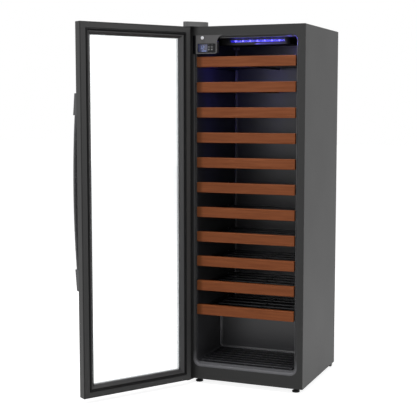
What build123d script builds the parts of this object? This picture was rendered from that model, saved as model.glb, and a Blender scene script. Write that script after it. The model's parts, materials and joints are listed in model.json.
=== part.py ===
"""A tall free-standing wine cooler: insulated cabinet, glass door on the left, eleven pull-out shelves.

Millimetres, +Z up. X = 0 is the cabinet's centre plane and +X is its right side as seen from the front.
-Y is the front. The origin lies on the floor, midway between the two front levelling feet.
The door stands open, as it does when the cooler is being loaded.
"""

import os
from math import cos, radians

from build123d import *

# ---------------------------------------------------------------- cabinet
CABINET_W = 595.0  # outside width
CABINET_D = 576.0  # front face to back sheet
CABINET_H = 1728.0  # without the feet
SHEET = 1.2  # steel sheet
SHELL_R = 4.0  # folded top corners of the outer shell
FASCIA_D = 12.0  # depth of the front surround
STILE_FLAT = 29.0  # flat front at each side, out to the rolled lip
TOP_FLAT = 41.0  # flat front above the rolled lip
BOTTOM_FLAT = 63.0  # flat front below the rolled lip
LIP_W = 12.0  # rolled lip round the opening
LIP_R = 36.0  # corner radius of the lip's outer edge
LIP_ROLL = 0.6  # share of the lip's width that is rounded over
LINER_T = 2.0
LINER_R = 14.0  # corner radius inside the liner
SIDE_WALL = 45.0  # outside to cavity, at the sides
CEILING_WALL = 56.0
FLOOR_WALL = 86.0
BACK_WALL = 36.0
STEP_D = 248.0  # back sheet to the face of the step over the compressor
STEP_H = 305.0  # cabinet's underside to the top of the step
BAY_WALL = 36.0  # insulation between the step and the compressor bay
EVAPORATOR_T = 2.5

# ---------------------------------------------------------------- feet and rollers
FOOT_H = 24.0  # floor to the cabinet's underside
FOOT_INSET_X = 45.0
FOOT_INSET_Y = 42.0
FOOT_PAD_R = 19.0
FOOT_PAD_T = 8.0
FOOT_NECK_R = 9.0
FOOT_CONE_H = 4.0  # the pad slopes up to the neck
FOOT_NECK_GAP = 4.0  # between the neck and the cabinet's underside
STUD_R = 5.0
STUD_IN = 26.0  # stud above the cabinet's underside
SOCKET_WALL = 5.0
SOCKET_CAP = 3.0
STUD_AIR = 1.5  # socket above the stud's end
SHAFT_CLEARANCE = 0.05  # radial, for everything that turns in a hole
ROLLER_R = 13.0
ROLLER_W = 12.0
ROLLER_CHAMFER = 1.5
ROLLER_INSET_X = 16.0
ROLLER_INSET_Y = 16.0
ROLLER_AIR = 1.0
AXLE_R = 3.0
EAR_T = 2.0
EAR_R = 8.0

# ---------------------------------------------------------------- shelves
SHELF_COUNT = 11
LOWEST_BAND_RISE = 69.0  # step's top to the lowest band's top edge
TOP_BAND_DROP = 14.0  # control housing's lower edge to the top band's top edge
BAND_H = 49.0
BAND_T = 22.0
BAND_R = 3.0
BAND_EDGE_R = 2.4  # rounding of the band's front edges
BAND_SETBACK = 2.0  # behind the front face
BAND_GAP = 7.0  # to the lip, each side
RAIL_T = 1.5
RAIL_H = 26.0
RAIL_LEDGE = 14.0
RAIL_MOUTH = 7.5
RAIL_DROP = 50.0  # band's top edge to the rail's underside
RAIL_START = 30.0  # behind the front face
RAIL_BACK_GAP = 40.0  # rail's end to the cavity's back wall
RUN_CLEARANCE = 0.4
SLAT_W = 28.0
SLAT_T = 6.0
SLAT_COUNT = 7
SIDE_BAR_W = 22.0
SPINE_W = 14.0
DECK_LIP_T = 2.0  # upstand screwed to the back of the band
DECK_LIP_H = 30.0
DECK_LIP_IN = 30.0
DECK_BACK_GAP = 35.0  # deck to the cavity's back wall
SCREW_R = 2.0
SCREW_HEAD_R = 4.0
SCREW_HEAD_T = 2.2
SCREW_UP = 18.0  # rail's underside to its screws
SCREW_IN_FRONT = 36.0  # behind the rail's front end
SCREW_IN_BACK = 65.0  # ahead of the rail's back end
SCREW_CLEARANCE = 0.1

# ---------------------------------------------------------------- floor rack
RACK_GAP = 12.0  # to the cavity's walls
RACK_SETBACK = 22.0  # behind the front face
RACK_STEP_GAP = 20.0  # rack to the step
RACK_BEARERS = 3
RACK_BEARER_W = 16.0
RACK_BEARER_GAP = 1.0  # outer bearers to the start of the liner's rounded corner
RACK_BEARER_H = 4.0
RACK_SLAT_W = 24.0
RACK_SLAT_T = 5.0
RACK_SLATS = 7

# ---------------------------------------------------------------- door
DOOR_T = 42.0
DOOR_GAP = 10.0  # door to cabinet, filled by the gasket
DOOR_RISE = 1.0  # above the cabinet's underside
DOOR_DROP = 2.0  # below the cabinet's top
DOOR_R = 3.0  # edge rounding of the door's frame
DOOR_OPEN_DEG = 123.0
HINGE_X = 10.0  # hinge line from the cabinet's left side
HINGE_Y = 31.0  # hinge line ahead of the front face
PIN_R = 4.0
PIN_IN = 12.0
PIN_HEAD_R = 6.0
PIN_END_GAP = 1.0
HINGE_PLATE_T = 3.0
HINGE_EYE_R = 13.0
HINGE_PLATE_X = (8.0, 66.0)  # from the cabinet's left side
HINGE_PLATE_Y = (14.0, 48.0)  # behind the front face
FOOT_PLATE_X = (6.0, 30.0)
FOOT_PLATE_Y = (4.0, 28.0)
BOLT_R = 6.0
BOLT_H = 5.0
BOLT_COUNT = 3
GASKET_INSET = 24.0
GASKET_W = 17.0
GASKET_BASE_T = 3.0
GASKET_BULB_INSET = 3.0
GASKET_BULB_R = 3.0
GASKET_AIR = 0.3
SIGHT_X = 58.0  # door's edge to the glass you see through, at the sides
SIGHT_Z = 57.0  # the same at the top and bottom
TRIM_EDGE = 42.0  # door's edge to the inner trim
TRIM_T = 18.0
TRIM_SLOPE_T = 12.0
TRIM_LAND = 3.0  # flat rim round the slope
PANE_T = 4.0
PANE_HOLD = 8.0  # how far the panes reach behind the frame
PANE_RECESS = 1.0  # outer pane behind the door's outer face
PANE_AIR = 0.5  # round the panes' edges

# ---------------------------------------------------------------- handle
HANDLE_INSET = 9.0  # from the door's free edge
HANDLE_W = 24.0
HANDLE_LOW = 496.0  # above the cabinet's underside
HANDLE_LENGTH = 911.0
BLOCK_LENGTH = 100.0
BLOCK_OUT_END = 36.0
BLOCK_OUT_GRIP = 50.0
GRIP_OUT_END = 36.0
GRIP_OUT_MIDDLE = 58.0
GRIP_T = 16.0
HANDLE_R = 4.0

# ---------------------------------------------------------------- top hinge cover
COVER_H = 23.0
COVER_T = 1.6
COVER_BOSS_R = 16.0
COVER_REACH_X = 88.0  # from the cabinet's left side
COVER_REACH_Y = 58.0  # behind the front face
COVER_NEAR_Y = 26.0  # front of its wide part, behind the front face
COVER_ROUND = 6.0
COVER_EDGE_R = 1.5

# ---------------------------------------------------------------- control housing
PANEL_X = 47.0  # from the cabinet's left side
PANEL_W = 108.0
PANEL_FLARE = 36.0  # extra width along the top
PANEL_H = 88.0
PANEL_TOP = 1.0  # below the lip's outer top edge
PANEL_T = 2.5
PANEL_R = 12.0
PANEL_BODY_D = 48.0
PANEL_BODY_IN = 10.0  # sides of the box behind the face, from the face's sides
PANEL_BODY_UP = 4.0
PANEL_BODY_H = 58.0
PANEL_WALL = 2.0
WINDOW_W = 94.0
WINDOW_H = 44.0
WINDOW_UP = 5.0  # above the housing's lower edge
WINDOW_DEEP = 1.0
WINDOW_R = 4.0
LENS_W = 48.0
LENS_H = 36.0
LENS_T = 0.8
LENS_IN = 4.0  # from the window's left and lower edges
KEY_IN = 59.0  # first column of keys, from the window's left edge
KEY_UP = 15.0  # first row of keys, above the window's lower edge
KEY_COLUMNS = 2
KEY_ROWS = 2
KEY_W = 10.0
KEY_H = 8.0
KEY_R = 1.0
KEY_PITCH_X = 16.0
KEY_PITCH_Z = 12.0
KEY_PROUD = 1.2
KEY_TRAVEL = 1.0
FLANGE_EXTRA = 1.5
FLANGE_T = 1.0
FIT = 0.3
SWITCH_R = 8.0
SWITCH_PROUD = 6.0
SWITCH_TRAVEL = 4.0
SWITCH_ROUND = 1.0
SWITCH_X = 35.0  # from the housing's left edge
SWITCH_DOWN = 13.0  # below the housing's top edge
SWITCH_STEM_R = 4.0
SWITCH_FLANGE_R = 6.0
SWITCH_POCKET_R = 7.5
SWITCH_POCKET_D = 7.0
SENSOR_R = 6.5
SENSOR_T = 1.2
SENSOR_X = 41.0
SENSOR_DOWN = 31.0

# ---------------------------------------------------------------- light and circulation fan
LIGHT_W = 372.0
LIGHT_D = 150.0
LIGHT_H = 30.0
LIGHT_SETBACK = 112.0
LIGHT_R = 26.0
LIGHT_WALL = 2.0
LENS_STRIP_W = 282.0
LENS_STRIP_X = 21.0  # to the right of the centre plane
LENS_STRIP_H = 11.0
LENS_STRIP_T = 3.0
LENS_STRIP_DOWN = 5.0  # below the ceiling
LENS_STRIP_PROUD = 0.5
LENS_STRIP_RIM = 2.0
FAN_R = 46.0
FAN_HUB_R = 14.0
FAN_T = 14.0
FAN_BLADES = 7
FAN_SHAFT_R = 2.0
FAN_SETBACK = 97.0  # behind the light housing's front
FAN_BOSS_R = 7.0
FAN_BOSS_H = 3.0
FAN_AIR = 0.5
BLADE_T = 1.6
BLADE_PITCH_DEG = 35.0
GRILLE_SLOTS = 3  # each side of the boss
GRILLE_SLOT_W = 5.0
GRILLE_SLOT_L = 62.0
GRILLE_PITCH = 10.0

# ---------------------------------------------------------------- machinery
COMPRESSOR_R = 78.0
COMPRESSOR_H = 168.0
COMPRESSOR_X = 150.0
COMPRESSOR_TOP_R = 36.0
COMPRESSOR_FOOT_H = 14.0
COMPRESSOR_FOOT_R = 11.0  # the plate's rounded corners
COMPRESSOR_MOUNT_R = 10.0  # rubber mounts under them
COMPRESSOR_PLATE = (200.0, 130.0, 4.0)
COMPRESSOR_SEAM = 4.0
CONDENSER_W = 150.0
CONDENSER_D = 110.0
CONDENSER_H = 180.0
CONDENSER_X = -190.0
FIN_T = 1.0
FIN_COUNT = 15
TUBE_R = 4.0
TUBE_ROWS = 5
TUBE_COLUMNS = 3
SHROUD_X = -60.0
SHROUD_SIZE = 150.0
SHROUD_T = 3.0
SHROUD_RING_D = 22.0
SHROUD_SPOKE_W = 10.0
BLOWER_R = 62.0
BLOWER_AIR = 3.0  # blade tips to the ring
BLOWER_HUB_R = 18.0
BLOWER_T = 14.0
BLOWER_BLADES = 5
MOTOR_R = 16.0
MOTOR_D = 6.0
BLOWER_SHAFT_R = 2.5
EVAPORATOR_W = 430.0
EVAPORATOR_RISE = 175.0  # above the step's top
EVAPORATOR_DROP = 142.0  # below the cavity's ceiling
LINE_R = 4.0
LINE_BEND_R = 20.0
LINE_Y = 28.0  # suction line ahead of the back sheet
LINE_RISE = 35.0  # suction line above the compressor
LINE_ON_PLATE = 35.0  # suction line up the back of the evaporator
DISCHARGE_RISE = 20.0
DISCHARGE_SIDE = 26.0  # discharge line beside the suction line
LINE_AIR = 0.5
LOUVRE_W = 130.0
LOUVRE_H = 6.0
LOUVRE_ROWS = 11
LOUVRE_PITCH = 18.0
LOUVRE_COLUMNS = 3
LOUVRE_SPREAD = 150.0
LOUVRE_LOW = 45.0
INLET_X = 235.0
INLET_Z = 60.0
INLET_W = 27.5
INLET_H = 20.0
INLET_D = 20.0
INLET_FLANGE = 5.0
INLET_FLANGE_T = 1.5
INLET_WALL = 2.0
CONTACT_W = 2.0
CONTACT_H = 4.0
CONTACT_PITCH = 7.0
CONTACT_OFFSET = 2.0  # the middle contact is raised and the outer two lowered
CONTACT_SHORT = 4.0  # contacts behind the inlet's mouth

# ---------------------------------------------------------------- drawing aids
PAST = 1.0  # how far a cut runs past the face it opens
NEARBY = 1.0  # how close an edge lies to the place it is looked for

# ---------------------------------------------------------------- places worked out from the sizes
LEFT = -CABINET_W / 2
RIGHT = CABINET_W / 2
FRONT = -FOOT_INSET_Y
BACK = FRONT + CABINET_D
BASE = FOOT_H
TOP = BASE + CABINET_H
CAVITY_X = CABINET_W / 2 - SIDE_WALL
CAVITY_BACK = BACK - BACK_WALL
CAVITY_FLOOR = BASE + FLOOR_WALL
CAVITY_CEILING = TOP - CEILING_WALL
STEP_FRONT = BACK - STEP_D
STEP_TOP = BASE + STEP_H
BAY_FRONT = STEP_FRONT + LINER_T + BAY_WALL
BAY_TOP = STEP_TOP - LINER_T - BAY_WALL
LIP_X = CABINET_W / 2 - STILE_FLAT  # outer edge of the rolled lip
LIP_TOP = TOP - TOP_FLAT
LIP_BOTTOM = BASE + BOTTOM_FLAT
HINGE = (LEFT + HINGE_X, FRONT - HINGE_Y)
DOOR_IN = FRONT - DOOR_GAP  # inner face of the shut door
DOOR_OUT = DOOR_IN - DOOR_T
DOOR_LOW = BASE + DOOR_RISE
DOOR_HIGH = TOP - DOOR_DROP
PANEL_LEFT = LEFT + PANEL_X
PANEL_RIGHT = PANEL_LEFT + PANEL_W
PANEL_HIGH = LIP_TOP - PANEL_TOP
PANEL_LOW = PANEL_HIGH - PANEL_H
PANEL_FACE = FRONT - PANEL_T
BAND_W = 2 * (LIP_X - LIP_W - BAND_GAP)
BAND_BACK = FRONT + BAND_SETBACK + BAND_T
LOWEST_BAND_TOP = STEP_TOP + LOWEST_BAND_RISE
SHELF_PITCH = (PANEL_LOW - TOP_BAND_DROP - LOWEST_BAND_TOP) / (SHELF_COUNT - 1)
BAND_TOPS = [LOWEST_BAND_TOP + SHELF_PITCH * n for n in range(SHELF_COUNT)]
RAIL_LOWS = [top - RAIL_DROP for top in BAND_TOPS]
RAIL_FRONT = FRONT + RAIL_START
RAIL_BACK = CAVITY_BACK - RAIL_BACK_GAP
RUNNER_T = RAIL_MOUTH - 2 * RUN_CLEARANCE
WINDOW_LEFT = PANEL_LEFT + (PANEL_W - WINDOW_W) / 2
WINDOW_LOW = PANEL_LOW + WINDOW_UP
WINDOW_FLOOR = PANEL_FACE + WINDOW_DEEP
SWITCH_AT = (PANEL_LEFT + SWITCH_X, PANEL_HIGH - SWITCH_DOWN)
SENSOR_AT = (PANEL_LEFT + SENSOR_X, PANEL_HIGH - SENSOR_DOWN)
KEY_PLACES = [
    (
        WINDOW_LEFT + KEY_IN + column * KEY_PITCH_X,
        WINDOW_LOW + KEY_UP + row * KEY_PITCH_Z,
    )
    for row in range(KEY_ROWS)
    for column in range(KEY_COLUMNS)
]


def block(x, y, z, mode=Mode.ADD):
    """A box between two values along each axis."""
    with Locations((x[0], y[0], z[0])):
        Box(x[1] - x[0], y[1] - y[0], z[1] - z[0], align=(Align.MIN,) * 3, mode=mode)


def loose_block(x, y, z):
    """The same box as a solid of its own, which stays whole where it touches others."""
    with BuildPart() as piece:
        block(x, y, z)
    return piece.solid()


def upright(y):
    """The upright plane at depth y, seen from the front: its x is X and its y is Z."""
    return Plane.XZ.offset(-y)


def window(x, z, radius=0.0, mode=Mode.ADD):
    """In a sketch on an upright plane: a rectangle between two values along X and Z."""
    with Locations(((x[0] + x[1]) / 2, (z[0] + z[1]) / 2)):
        if radius > 0:
            RectangleRounded(x[1] - x[0], z[1] - z[0], radius, mode=mode)
        else:
            Rectangle(x[1] - x[0], z[1] - z[0], mode=mode)


def save(piece, name):
    """Label a finished piece and write it."""
    piece.label = name
    export_step(piece, f"parts/{name}.step")


def save_on_door(piece, name):
    """Door pieces are drawn with the door shut, then swung open about the hinge line."""
    hinge_line = Axis((HINGE[0], HINGE[1], 0), (0, 0, 1))
    save(piece.rotate(hinge_line, -DOOR_OPEN_DEG), name)


os.makedirs("parts", exist_ok=True)

# ================================================================ cabinet shells

with BuildPart() as outer_shell:  # one sheet folded over both sides and the top
    with BuildSketch(upright(FRONT)):
        window((LEFT, RIGHT), (BASE, TOP))
        fillet(vertices().group_by(Axis.Y)[-1], SHELL_R)
        with BuildSketch(upright(FRONT), mode=Mode.SUBTRACT):
            window((LEFT + SHEET, RIGHT - SHEET), (BASE - SHEET, TOP - SHEET))
            fillet(vertices().group_by(Axis.Y)[-1], SHELL_R - SHEET)
    extrude(amount=-CABINET_D)
save(outer_shell.part, "outer_shell")


def lip_outline(inset, mode=Mode.ADD):
    """In an upright sketch: the opening's outline, moved in from the lip's outer edge."""
    x = LIP_X - inset
    window((-x, x), (LIP_BOTTOM + inset, LIP_TOP - inset), LIP_R - inset, mode)


with BuildPart() as front_frame:  # flat surround between the shell's sides
    with BuildSketch(upright(FRONT)):
        window((LEFT + SHEET, RIGHT - SHEET), (BASE, TOP - SHEET))
        fillet(vertices().group_by(Axis.Y)[-1], SHELL_R - SHEET)
        lip_outline(0, Mode.SUBTRACT)
    extrude(amount=-FASCIA_D)
save(front_frame.part, "front_frame")


def cavity_profile(grow):
    """In a sketch on Plane.YZ: the side view of the cavity, grown outwards by grow."""
    Polygon(
        (FRONT + FASCIA_D, CAVITY_FLOOR - grow),
        (STEP_FRONT + grow, CAVITY_FLOOR - grow),
        (STEP_FRONT + grow, STEP_TOP - grow),
        (CAVITY_BACK + grow, STEP_TOP - grow),
        (CAVITY_BACK + grow, CAVITY_CEILING + grow),
        (FRONT + FASCIA_D, CAVITY_CEILING + grow),
        align=None,
    )


def rounded_cavity(grow):
    """The solid that fills the cavity, rounded everywhere but at its mouth and the step's nose."""
    with BuildPart() as solid:
        with BuildSketch(Plane.YZ):
            cavity_profile(grow)
        extrude(amount=CAVITY_X + grow, both=True)
        sharp = list(solid.edges().group_by(Axis.Y)[0])
        sharp += [
            edge
            for edge in solid.edges().filter_by(Axis.X)
            if abs(edge.center().Y - STEP_FRONT - grow) < NEARBY
            and abs(edge.center().Z - STEP_TOP + grow) < NEARBY
        ]
        fillet([edge for edge in solid.edges() if edge not in sharp], LINER_R + grow)
    return solid.part


cavity = rounded_cavity(0)
liner_outside = rounded_cavity(LINER_T)


def rail_screw_places():
    """Centre of every rail screw on the liner's wall: side, depth, height."""
    return [
        (side, y, low + SCREW_UP)
        for side in (-1, 1)
        for y in (RAIL_FRONT + SCREW_IN_FRONT, RAIL_BACK - SCREW_IN_BACK)
        for low in RAIL_LOWS
    ]


def screw_holes():
    """Cut the rail screws' holes through rails and liner."""
    places = [(side * CAVITY_X, y, z) for side, y, z in rail_screw_places()]
    with Locations(*places):
        Cylinder(
            SCREW_R + SCREW_CLEARANCE,
            2 * (LINER_T + RAIL_T + PAST),
            rotation=(0, 90, 0),
            mode=Mode.SUBTRACT,
        )


with BuildPart() as liner_lip:  # moulded ring that rolls from the surround into the opening
    with BuildSketch(upright(FRONT)):
        lip_outline(0)
        lip_outline(LIP_W, Mode.SUBTRACT)
    extrude(amount=-FASCIA_D)
    front_face = liner_lip.faces().sort_by(Axis.Y)[0]
    fillet(front_face.inner_wires()[0].edges(), LIP_W * LIP_ROLL)
    with BuildSketch(upright(FRONT + FASCIA_D)):  # flange round the tub's mouth
        lip_outline(0)
        x = CAVITY_X + LINER_T
        high = CAVITY_CEILING + LINER_T
        window((-x, x), (CAVITY_FLOOR - LINER_T, high), LINER_R + LINER_T, Mode.SUBTRACT)
    extrude(amount=-LINER_T)
    with BuildSketch(upright(FRONT)):  # pocket in the lip for the door switch
        with Locations(SWITCH_AT):
            Circle(SWITCH_POCKET_R)
    extrude(amount=-SWITCH_POCKET_D, mode=Mode.SUBTRACT)
save(liner_lip.part, "liner_lip")

with BuildPart() as inner_liner:  # moulded tub behind the lip
    add(liner_outside)
    add(cavity, mode=Mode.SUBTRACT)
    screw_holes()
save(inner_liner.part, "inner_liner")


# ================================================================ behind the liner

COMPRESSOR_Y = (BAY_FRONT + BACK) / 2
BAY_FLOOR = BASE + SHEET
COMPRESSOR_TOP = BAY_FLOOR + COMPRESSOR_FOOT_H + COMPRESSOR_H
CONDENSER_TOP = BAY_FLOOR + CONDENSER_H
EVAPORATOR_LOW = STEP_TOP + EVAPORATOR_RISE

with BuildPart() as evaporator:  # cold plate on the back of the liner, with its suction line
    block(
        (-EVAPORATOR_W / 2, EVAPORATOR_W / 2),
        (CAVITY_BACK + LINER_T, CAVITY_BACK + LINER_T + EVAPORATOR_T),
        (EVAPORATOR_LOW, CAVITY_CEILING - EVAPORATOR_DROP),
    )
    start = (COMPRESSOR_X, BACK - LINE_Y, EVAPORATOR_LOW + LINE_ON_PLATE)
    with BuildLine():
        FilletPolyline(
            start,
            (COMPRESSOR_X, BACK - LINE_Y, COMPRESSOR_TOP + LINE_RISE),
            (COMPRESSOR_X, COMPRESSOR_Y, COMPRESSOR_TOP + LINE_RISE),
            (COMPRESSOR_X, COMPRESSOR_Y, COMPRESSOR_TOP),
            radius=LINE_BEND_R,
        )
    with BuildSketch(Plane(origin=start, x_dir=(1, 0, 0), z_dir=(0, 0, -1))):
        Circle(LINE_R)
    sweep()
save(evaporator.part, "evaporator")

with BuildPart() as insulation_foam:  # foamed in place between shell and liner
    block(
        (LEFT + SHEET, RIGHT - SHEET),
        (FRONT + FASCIA_D, BACK - SHEET),
        (BASE + SHEET, TOP - SHEET),
    )
    fillet(insulation_foam.edges().filter_by(Axis.Y).group_by(Axis.Z)[-1], SHELL_R - SHEET)
    block(
        (LEFT + SHEET, RIGHT - SHEET),
        (BAY_FRONT, BACK),
        (BASE, BAY_TOP),
        Mode.SUBTRACT,
    )
    with BuildSketch(upright(FRONT + FASCIA_D)):
        lip_outline(0)
    extrude(amount=-LINER_T, mode=Mode.SUBTRACT)
    add(liner_outside, mode=Mode.SUBTRACT)
    add(evaporator.part, mode=Mode.SUBTRACT)
    with BuildSketch(Plane.XY.offset(BASE)):
        with GridLocations(CABINET_W - 2 * FOOT_INSET_X, 0, 2, 1):
            Circle(STUD_R + SOCKET_WALL)
    extrude(amount=STUD_IN + SOCKET_CAP, mode=Mode.SUBTRACT)
save(insulation_foam.part, "insulation_foam")


def roller_centres():
    """The two rear rollers, as side and middle of the wheel."""
    x = CABINET_W / 2 - ROLLER_INSET_X
    return [(side, (side * x, BACK - ROLLER_INSET_Y, ROLLER_R)) for side in (-1, 1)]


with BuildPart() as base_tray:  # folded floor sheet: underside, bay wall and bay ceiling
    width = (LEFT + SHEET, RIGHT - SHEET)
    block(width, (FRONT + FASCIA_D, BACK - SHEET), (BASE, BASE + SHEET))
    block(width, (BAY_FRONT, BAY_FRONT + SHEET), (BASE, BAY_TOP))
    block(width, (BAY_FRONT, BACK - SHEET), (BAY_TOP - SHEET, BAY_TOP))
    with BuildSketch(Plane.XY.offset(BASE)):
        with GridLocations(CABINET_W - 2 * FOOT_INSET_X, 0, 2, 1):
            Circle(STUD_R + SOCKET_WALL)
    extrude(amount=STUD_IN + SOCKET_CAP)
    with BuildSketch(Plane.XY.offset(BASE)):
        with GridLocations(CABINET_W - 2 * FOOT_INSET_X, 0, 2, 1):
            Circle(STUD_R)
    extrude(amount=STUD_IN + STUD_AIR, mode=Mode.SUBTRACT)
    with Locations((COMPRESSOR_X, BACK - LINE_Y, BAY_TOP)):
        Cylinder(LINE_R + LINE_AIR, 2 * (SHEET + PAST), mode=Mode.SUBTRACT)
    for side, (x, y, z) in roller_centres():
        half = ROLLER_W / 2 + ROLLER_AIR
        reach = ROLLER_R + ROLLER_AIR
        block((x - half, x + half), (y - reach, y + reach), (BASE, BASE + SHEET), Mode.SUBTRACT)
        for ear in (-half - EAR_T, half):
            block((x + ear, x + ear + EAR_T), (y - EAR_R, y + EAR_R), (z, BASE + SHEET))
            with Locations((x + ear + EAR_T / 2, y, z)):
                Cylinder(EAR_R, EAR_T, rotation=(0, 90, 0))
        with Locations((x, y, z)):
            Cylinder(AXLE_R, 2 * (half + EAR_T + PAST), rotation=(0, 90, 0), mode=Mode.SUBTRACT)
save(base_tray.part, "base_tray")

for side, centre in roller_centres():
    with BuildPart() as roller:
        with Locations(centre):
            Cylinder(ROLLER_R, ROLLER_W, rotation=(0, 90, 0))
        chamfer(roller.edges().filter_by(GeomType.CIRCLE), ROLLER_CHAMFER)
        with Locations(centre):
            Cylinder(
                AXLE_R - SHAFT_CLEARANCE,
                ROLLER_W + 2 * (ROLLER_AIR + EAR_T),
                rotation=(0, 90, 0),
            )
    save(roller.part, "rear_roller_left" if side < 0 else "rear_roller_right")

with BuildPart() as back_panel:  # full-height back sheet, louvred over the compressor bay
    block((LEFT + SHEET, RIGHT - SHEET), (BACK - SHEET, BACK), (BASE, TOP - SHEET))
    fillet(back_panel.edges().filter_by(Axis.Y).group_by(Axis.Z)[-1], SHELL_R - SHEET)
    rows = BASE + LOUVRE_LOW + LOUVRE_PITCH * (LOUVRE_ROWS - 1) / 2
    with BuildSketch(upright(BACK)):
        with Locations((0, rows)):
            with GridLocations(LOUVRE_SPREAD, LOUVRE_PITCH, LOUVRE_COLUMNS, LOUVRE_ROWS):
                SlotOverall(LOUVRE_W, LOUVRE_H)
        with Locations((INLET_X, BASE + INLET_Z)):
            Rectangle(INLET_W, INLET_H)
    extrude(amount=SHEET + PAST, both=True, mode=Mode.SUBTRACT)
save(back_panel.part, "back_panel")

with BuildPart() as power_inlet:  # socket for a removable mains lead, with three contacts
    with BuildSketch(upright(BACK)):
        with Locations((INLET_X, BASE + INLET_Z)):
            Rectangle(INLET_W, INLET_H)
    extrude(amount=INLET_D)
    with BuildSketch(upright(BACK)):
        with Locations((INLET_X, BASE + INLET_Z)):
            RectangleRounded(INLET_W + 2 * INLET_FLANGE, INLET_H + 2 * INLET_FLANGE, INLET_FLANGE)
    extrude(amount=-INLET_FLANGE_T)
    with BuildSketch(upright(BACK + INLET_FLANGE_T)):
        with Locations((INLET_X, BASE + INLET_Z)):
            RectangleRounded(INLET_W - 2 * INLET_WALL, INLET_H - 2 * INLET_WALL, INLET_WALL)
    extrude(amount=INLET_D + INLET_FLANGE_T - INLET_WALL, mode=Mode.SUBTRACT)
    with BuildSketch(upright(BACK - INLET_D + INLET_WALL)):
        for dx, dz in ((-CONTACT_PITCH, -1), (0, 1), (CONTACT_PITCH, -1)):
            with Locations((INLET_X + dx, BASE + INLET_Z + dz * CONTACT_OFFSET)):
                Rectangle(CONTACT_W, CONTACT_H)
    extrude(amount=-(INLET_D + INLET_FLANGE_T - INLET_WALL - CONTACT_SHORT))
save(power_inlet.part, "power_inlet")

with BuildPart() as compressor:  # hermetic pot on a footed plate
    plate_x, plate_y, plate_t = COMPRESSOR_PLATE
    low = BAY_FLOOR + COMPRESSOR_FOOT_H
    with BuildSketch(Plane.XY.offset(low)):
        with Locations((COMPRESSOR_X, COMPRESSOR_Y)):
            Circle(COMPRESSOR_R)
    extrude(amount=COMPRESSOR_H)
    fillet(compressor.edges().filter_by(GeomType.CIRCLE).group_by(Axis.Z)[-1], COMPRESSOR_TOP_R)
    with BuildSketch(Plane.XY.offset(low + COMPRESSOR_H / 2)):
        with Locations((COMPRESSOR_X, COMPRESSOR_Y)):
            Circle(COMPRESSOR_R + COMPRESSOR_SEAM)
    extrude(amount=COMPRESSOR_SEAM)
    with BuildSketch(Plane.XY.offset(low)):
        with Locations((COMPRESSOR_X, COMPRESSOR_Y)):
            RectangleRounded(plate_x, plate_y, COMPRESSOR_FOOT_R)
    extrude(amount=plate_t)
    with BuildSketch(Plane.XY.offset(BAY_FLOOR)):
        with Locations((COMPRESSOR_X, COMPRESSOR_Y)):
            inset = 2 * COMPRESSOR_FOOT_R
            with GridLocations(plate_x - inset, plate_y - inset, 2, 2):
                Circle(COMPRESSOR_MOUNT_R)
    extrude(amount=COMPRESSOR_FOOT_H)
save(compressor.part, "compressor")

with BuildPart() as condenser:  # finned coil, with the line that comes to it from the compressor
    x_low = CONDENSER_X - CONDENSER_W / 2
    y_low = COMPRESSOR_Y - CONDENSER_D / 2
    pitch = (CONDENSER_W - FIN_T) / (FIN_COUNT - 1)
    with BuildSketch(Plane.YZ.offset(x_low)):
        with Locations((COMPRESSOR_Y, BAY_FLOOR + CONDENSER_H / 2)):
            Rectangle(CONDENSER_D, CONDENSER_H)
    extrude(amount=FIN_T)
    for n in range(1, FIN_COUNT):
        x = x_low + n * pitch
        block((x, x + FIN_T), (y_low, y_low + CONDENSER_D), (BAY_FLOOR, CONDENSER_TOP))
    with BuildSketch(Plane.YZ.offset(x_low - TUBE_R)):
        with Locations((COMPRESSOR_Y, BAY_FLOOR + CONDENSER_H / 2)):
            with GridLocations(
                CONDENSER_D / TUBE_COLUMNS, CONDENSER_H / TUBE_ROWS, TUBE_COLUMNS, TUBE_ROWS
            ):
                Circle(TUBE_R)
    extrude(amount=CONDENSER_W + 2 * TUBE_R)
    header_x = CONDENSER_X + CONDENSER_W / 2 - TUBE_R
    block(
        (header_x - TUBE_R, header_x + TUBE_R),
        (COMPRESSOR_Y - CONDENSER_D / 4, COMPRESSOR_Y + CONDENSER_D / 4),
        (CONDENSER_TOP - 2 * TUBE_R, CONDENSER_TOP),
    )
    rise = COMPRESSOR_TOP + DISCHARGE_RISE
    outlet = (COMPRESSOR_X - DISCHARGE_SIDE, COMPRESSOR_Y, COMPRESSOR_TOP)
    with BuildLine():
        FilletPolyline(
            outlet,
            (COMPRESSOR_X - DISCHARGE_SIDE, COMPRESSOR_Y, rise),
            (header_x, COMPRESSOR_Y, rise),
            (header_x, COMPRESSOR_Y, CONDENSER_TOP - TUBE_R),
            radius=LINE_BEND_R / 2,
        )
    with BuildSketch(Plane.XY.offset(COMPRESSOR_TOP)):
        with Locations((COMPRESSOR_X - DISCHARGE_SIDE, COMPRESSOR_Y)):
            Circle(LINE_R)
    sweep()
save(condenser.part, "condenser")

BLOWER_Z = BAY_FLOOR + SHROUD_SIZE / 2
BLOWER_X = SHROUD_X + SHROUD_T + MOTOR_D + FAN_AIR

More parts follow.
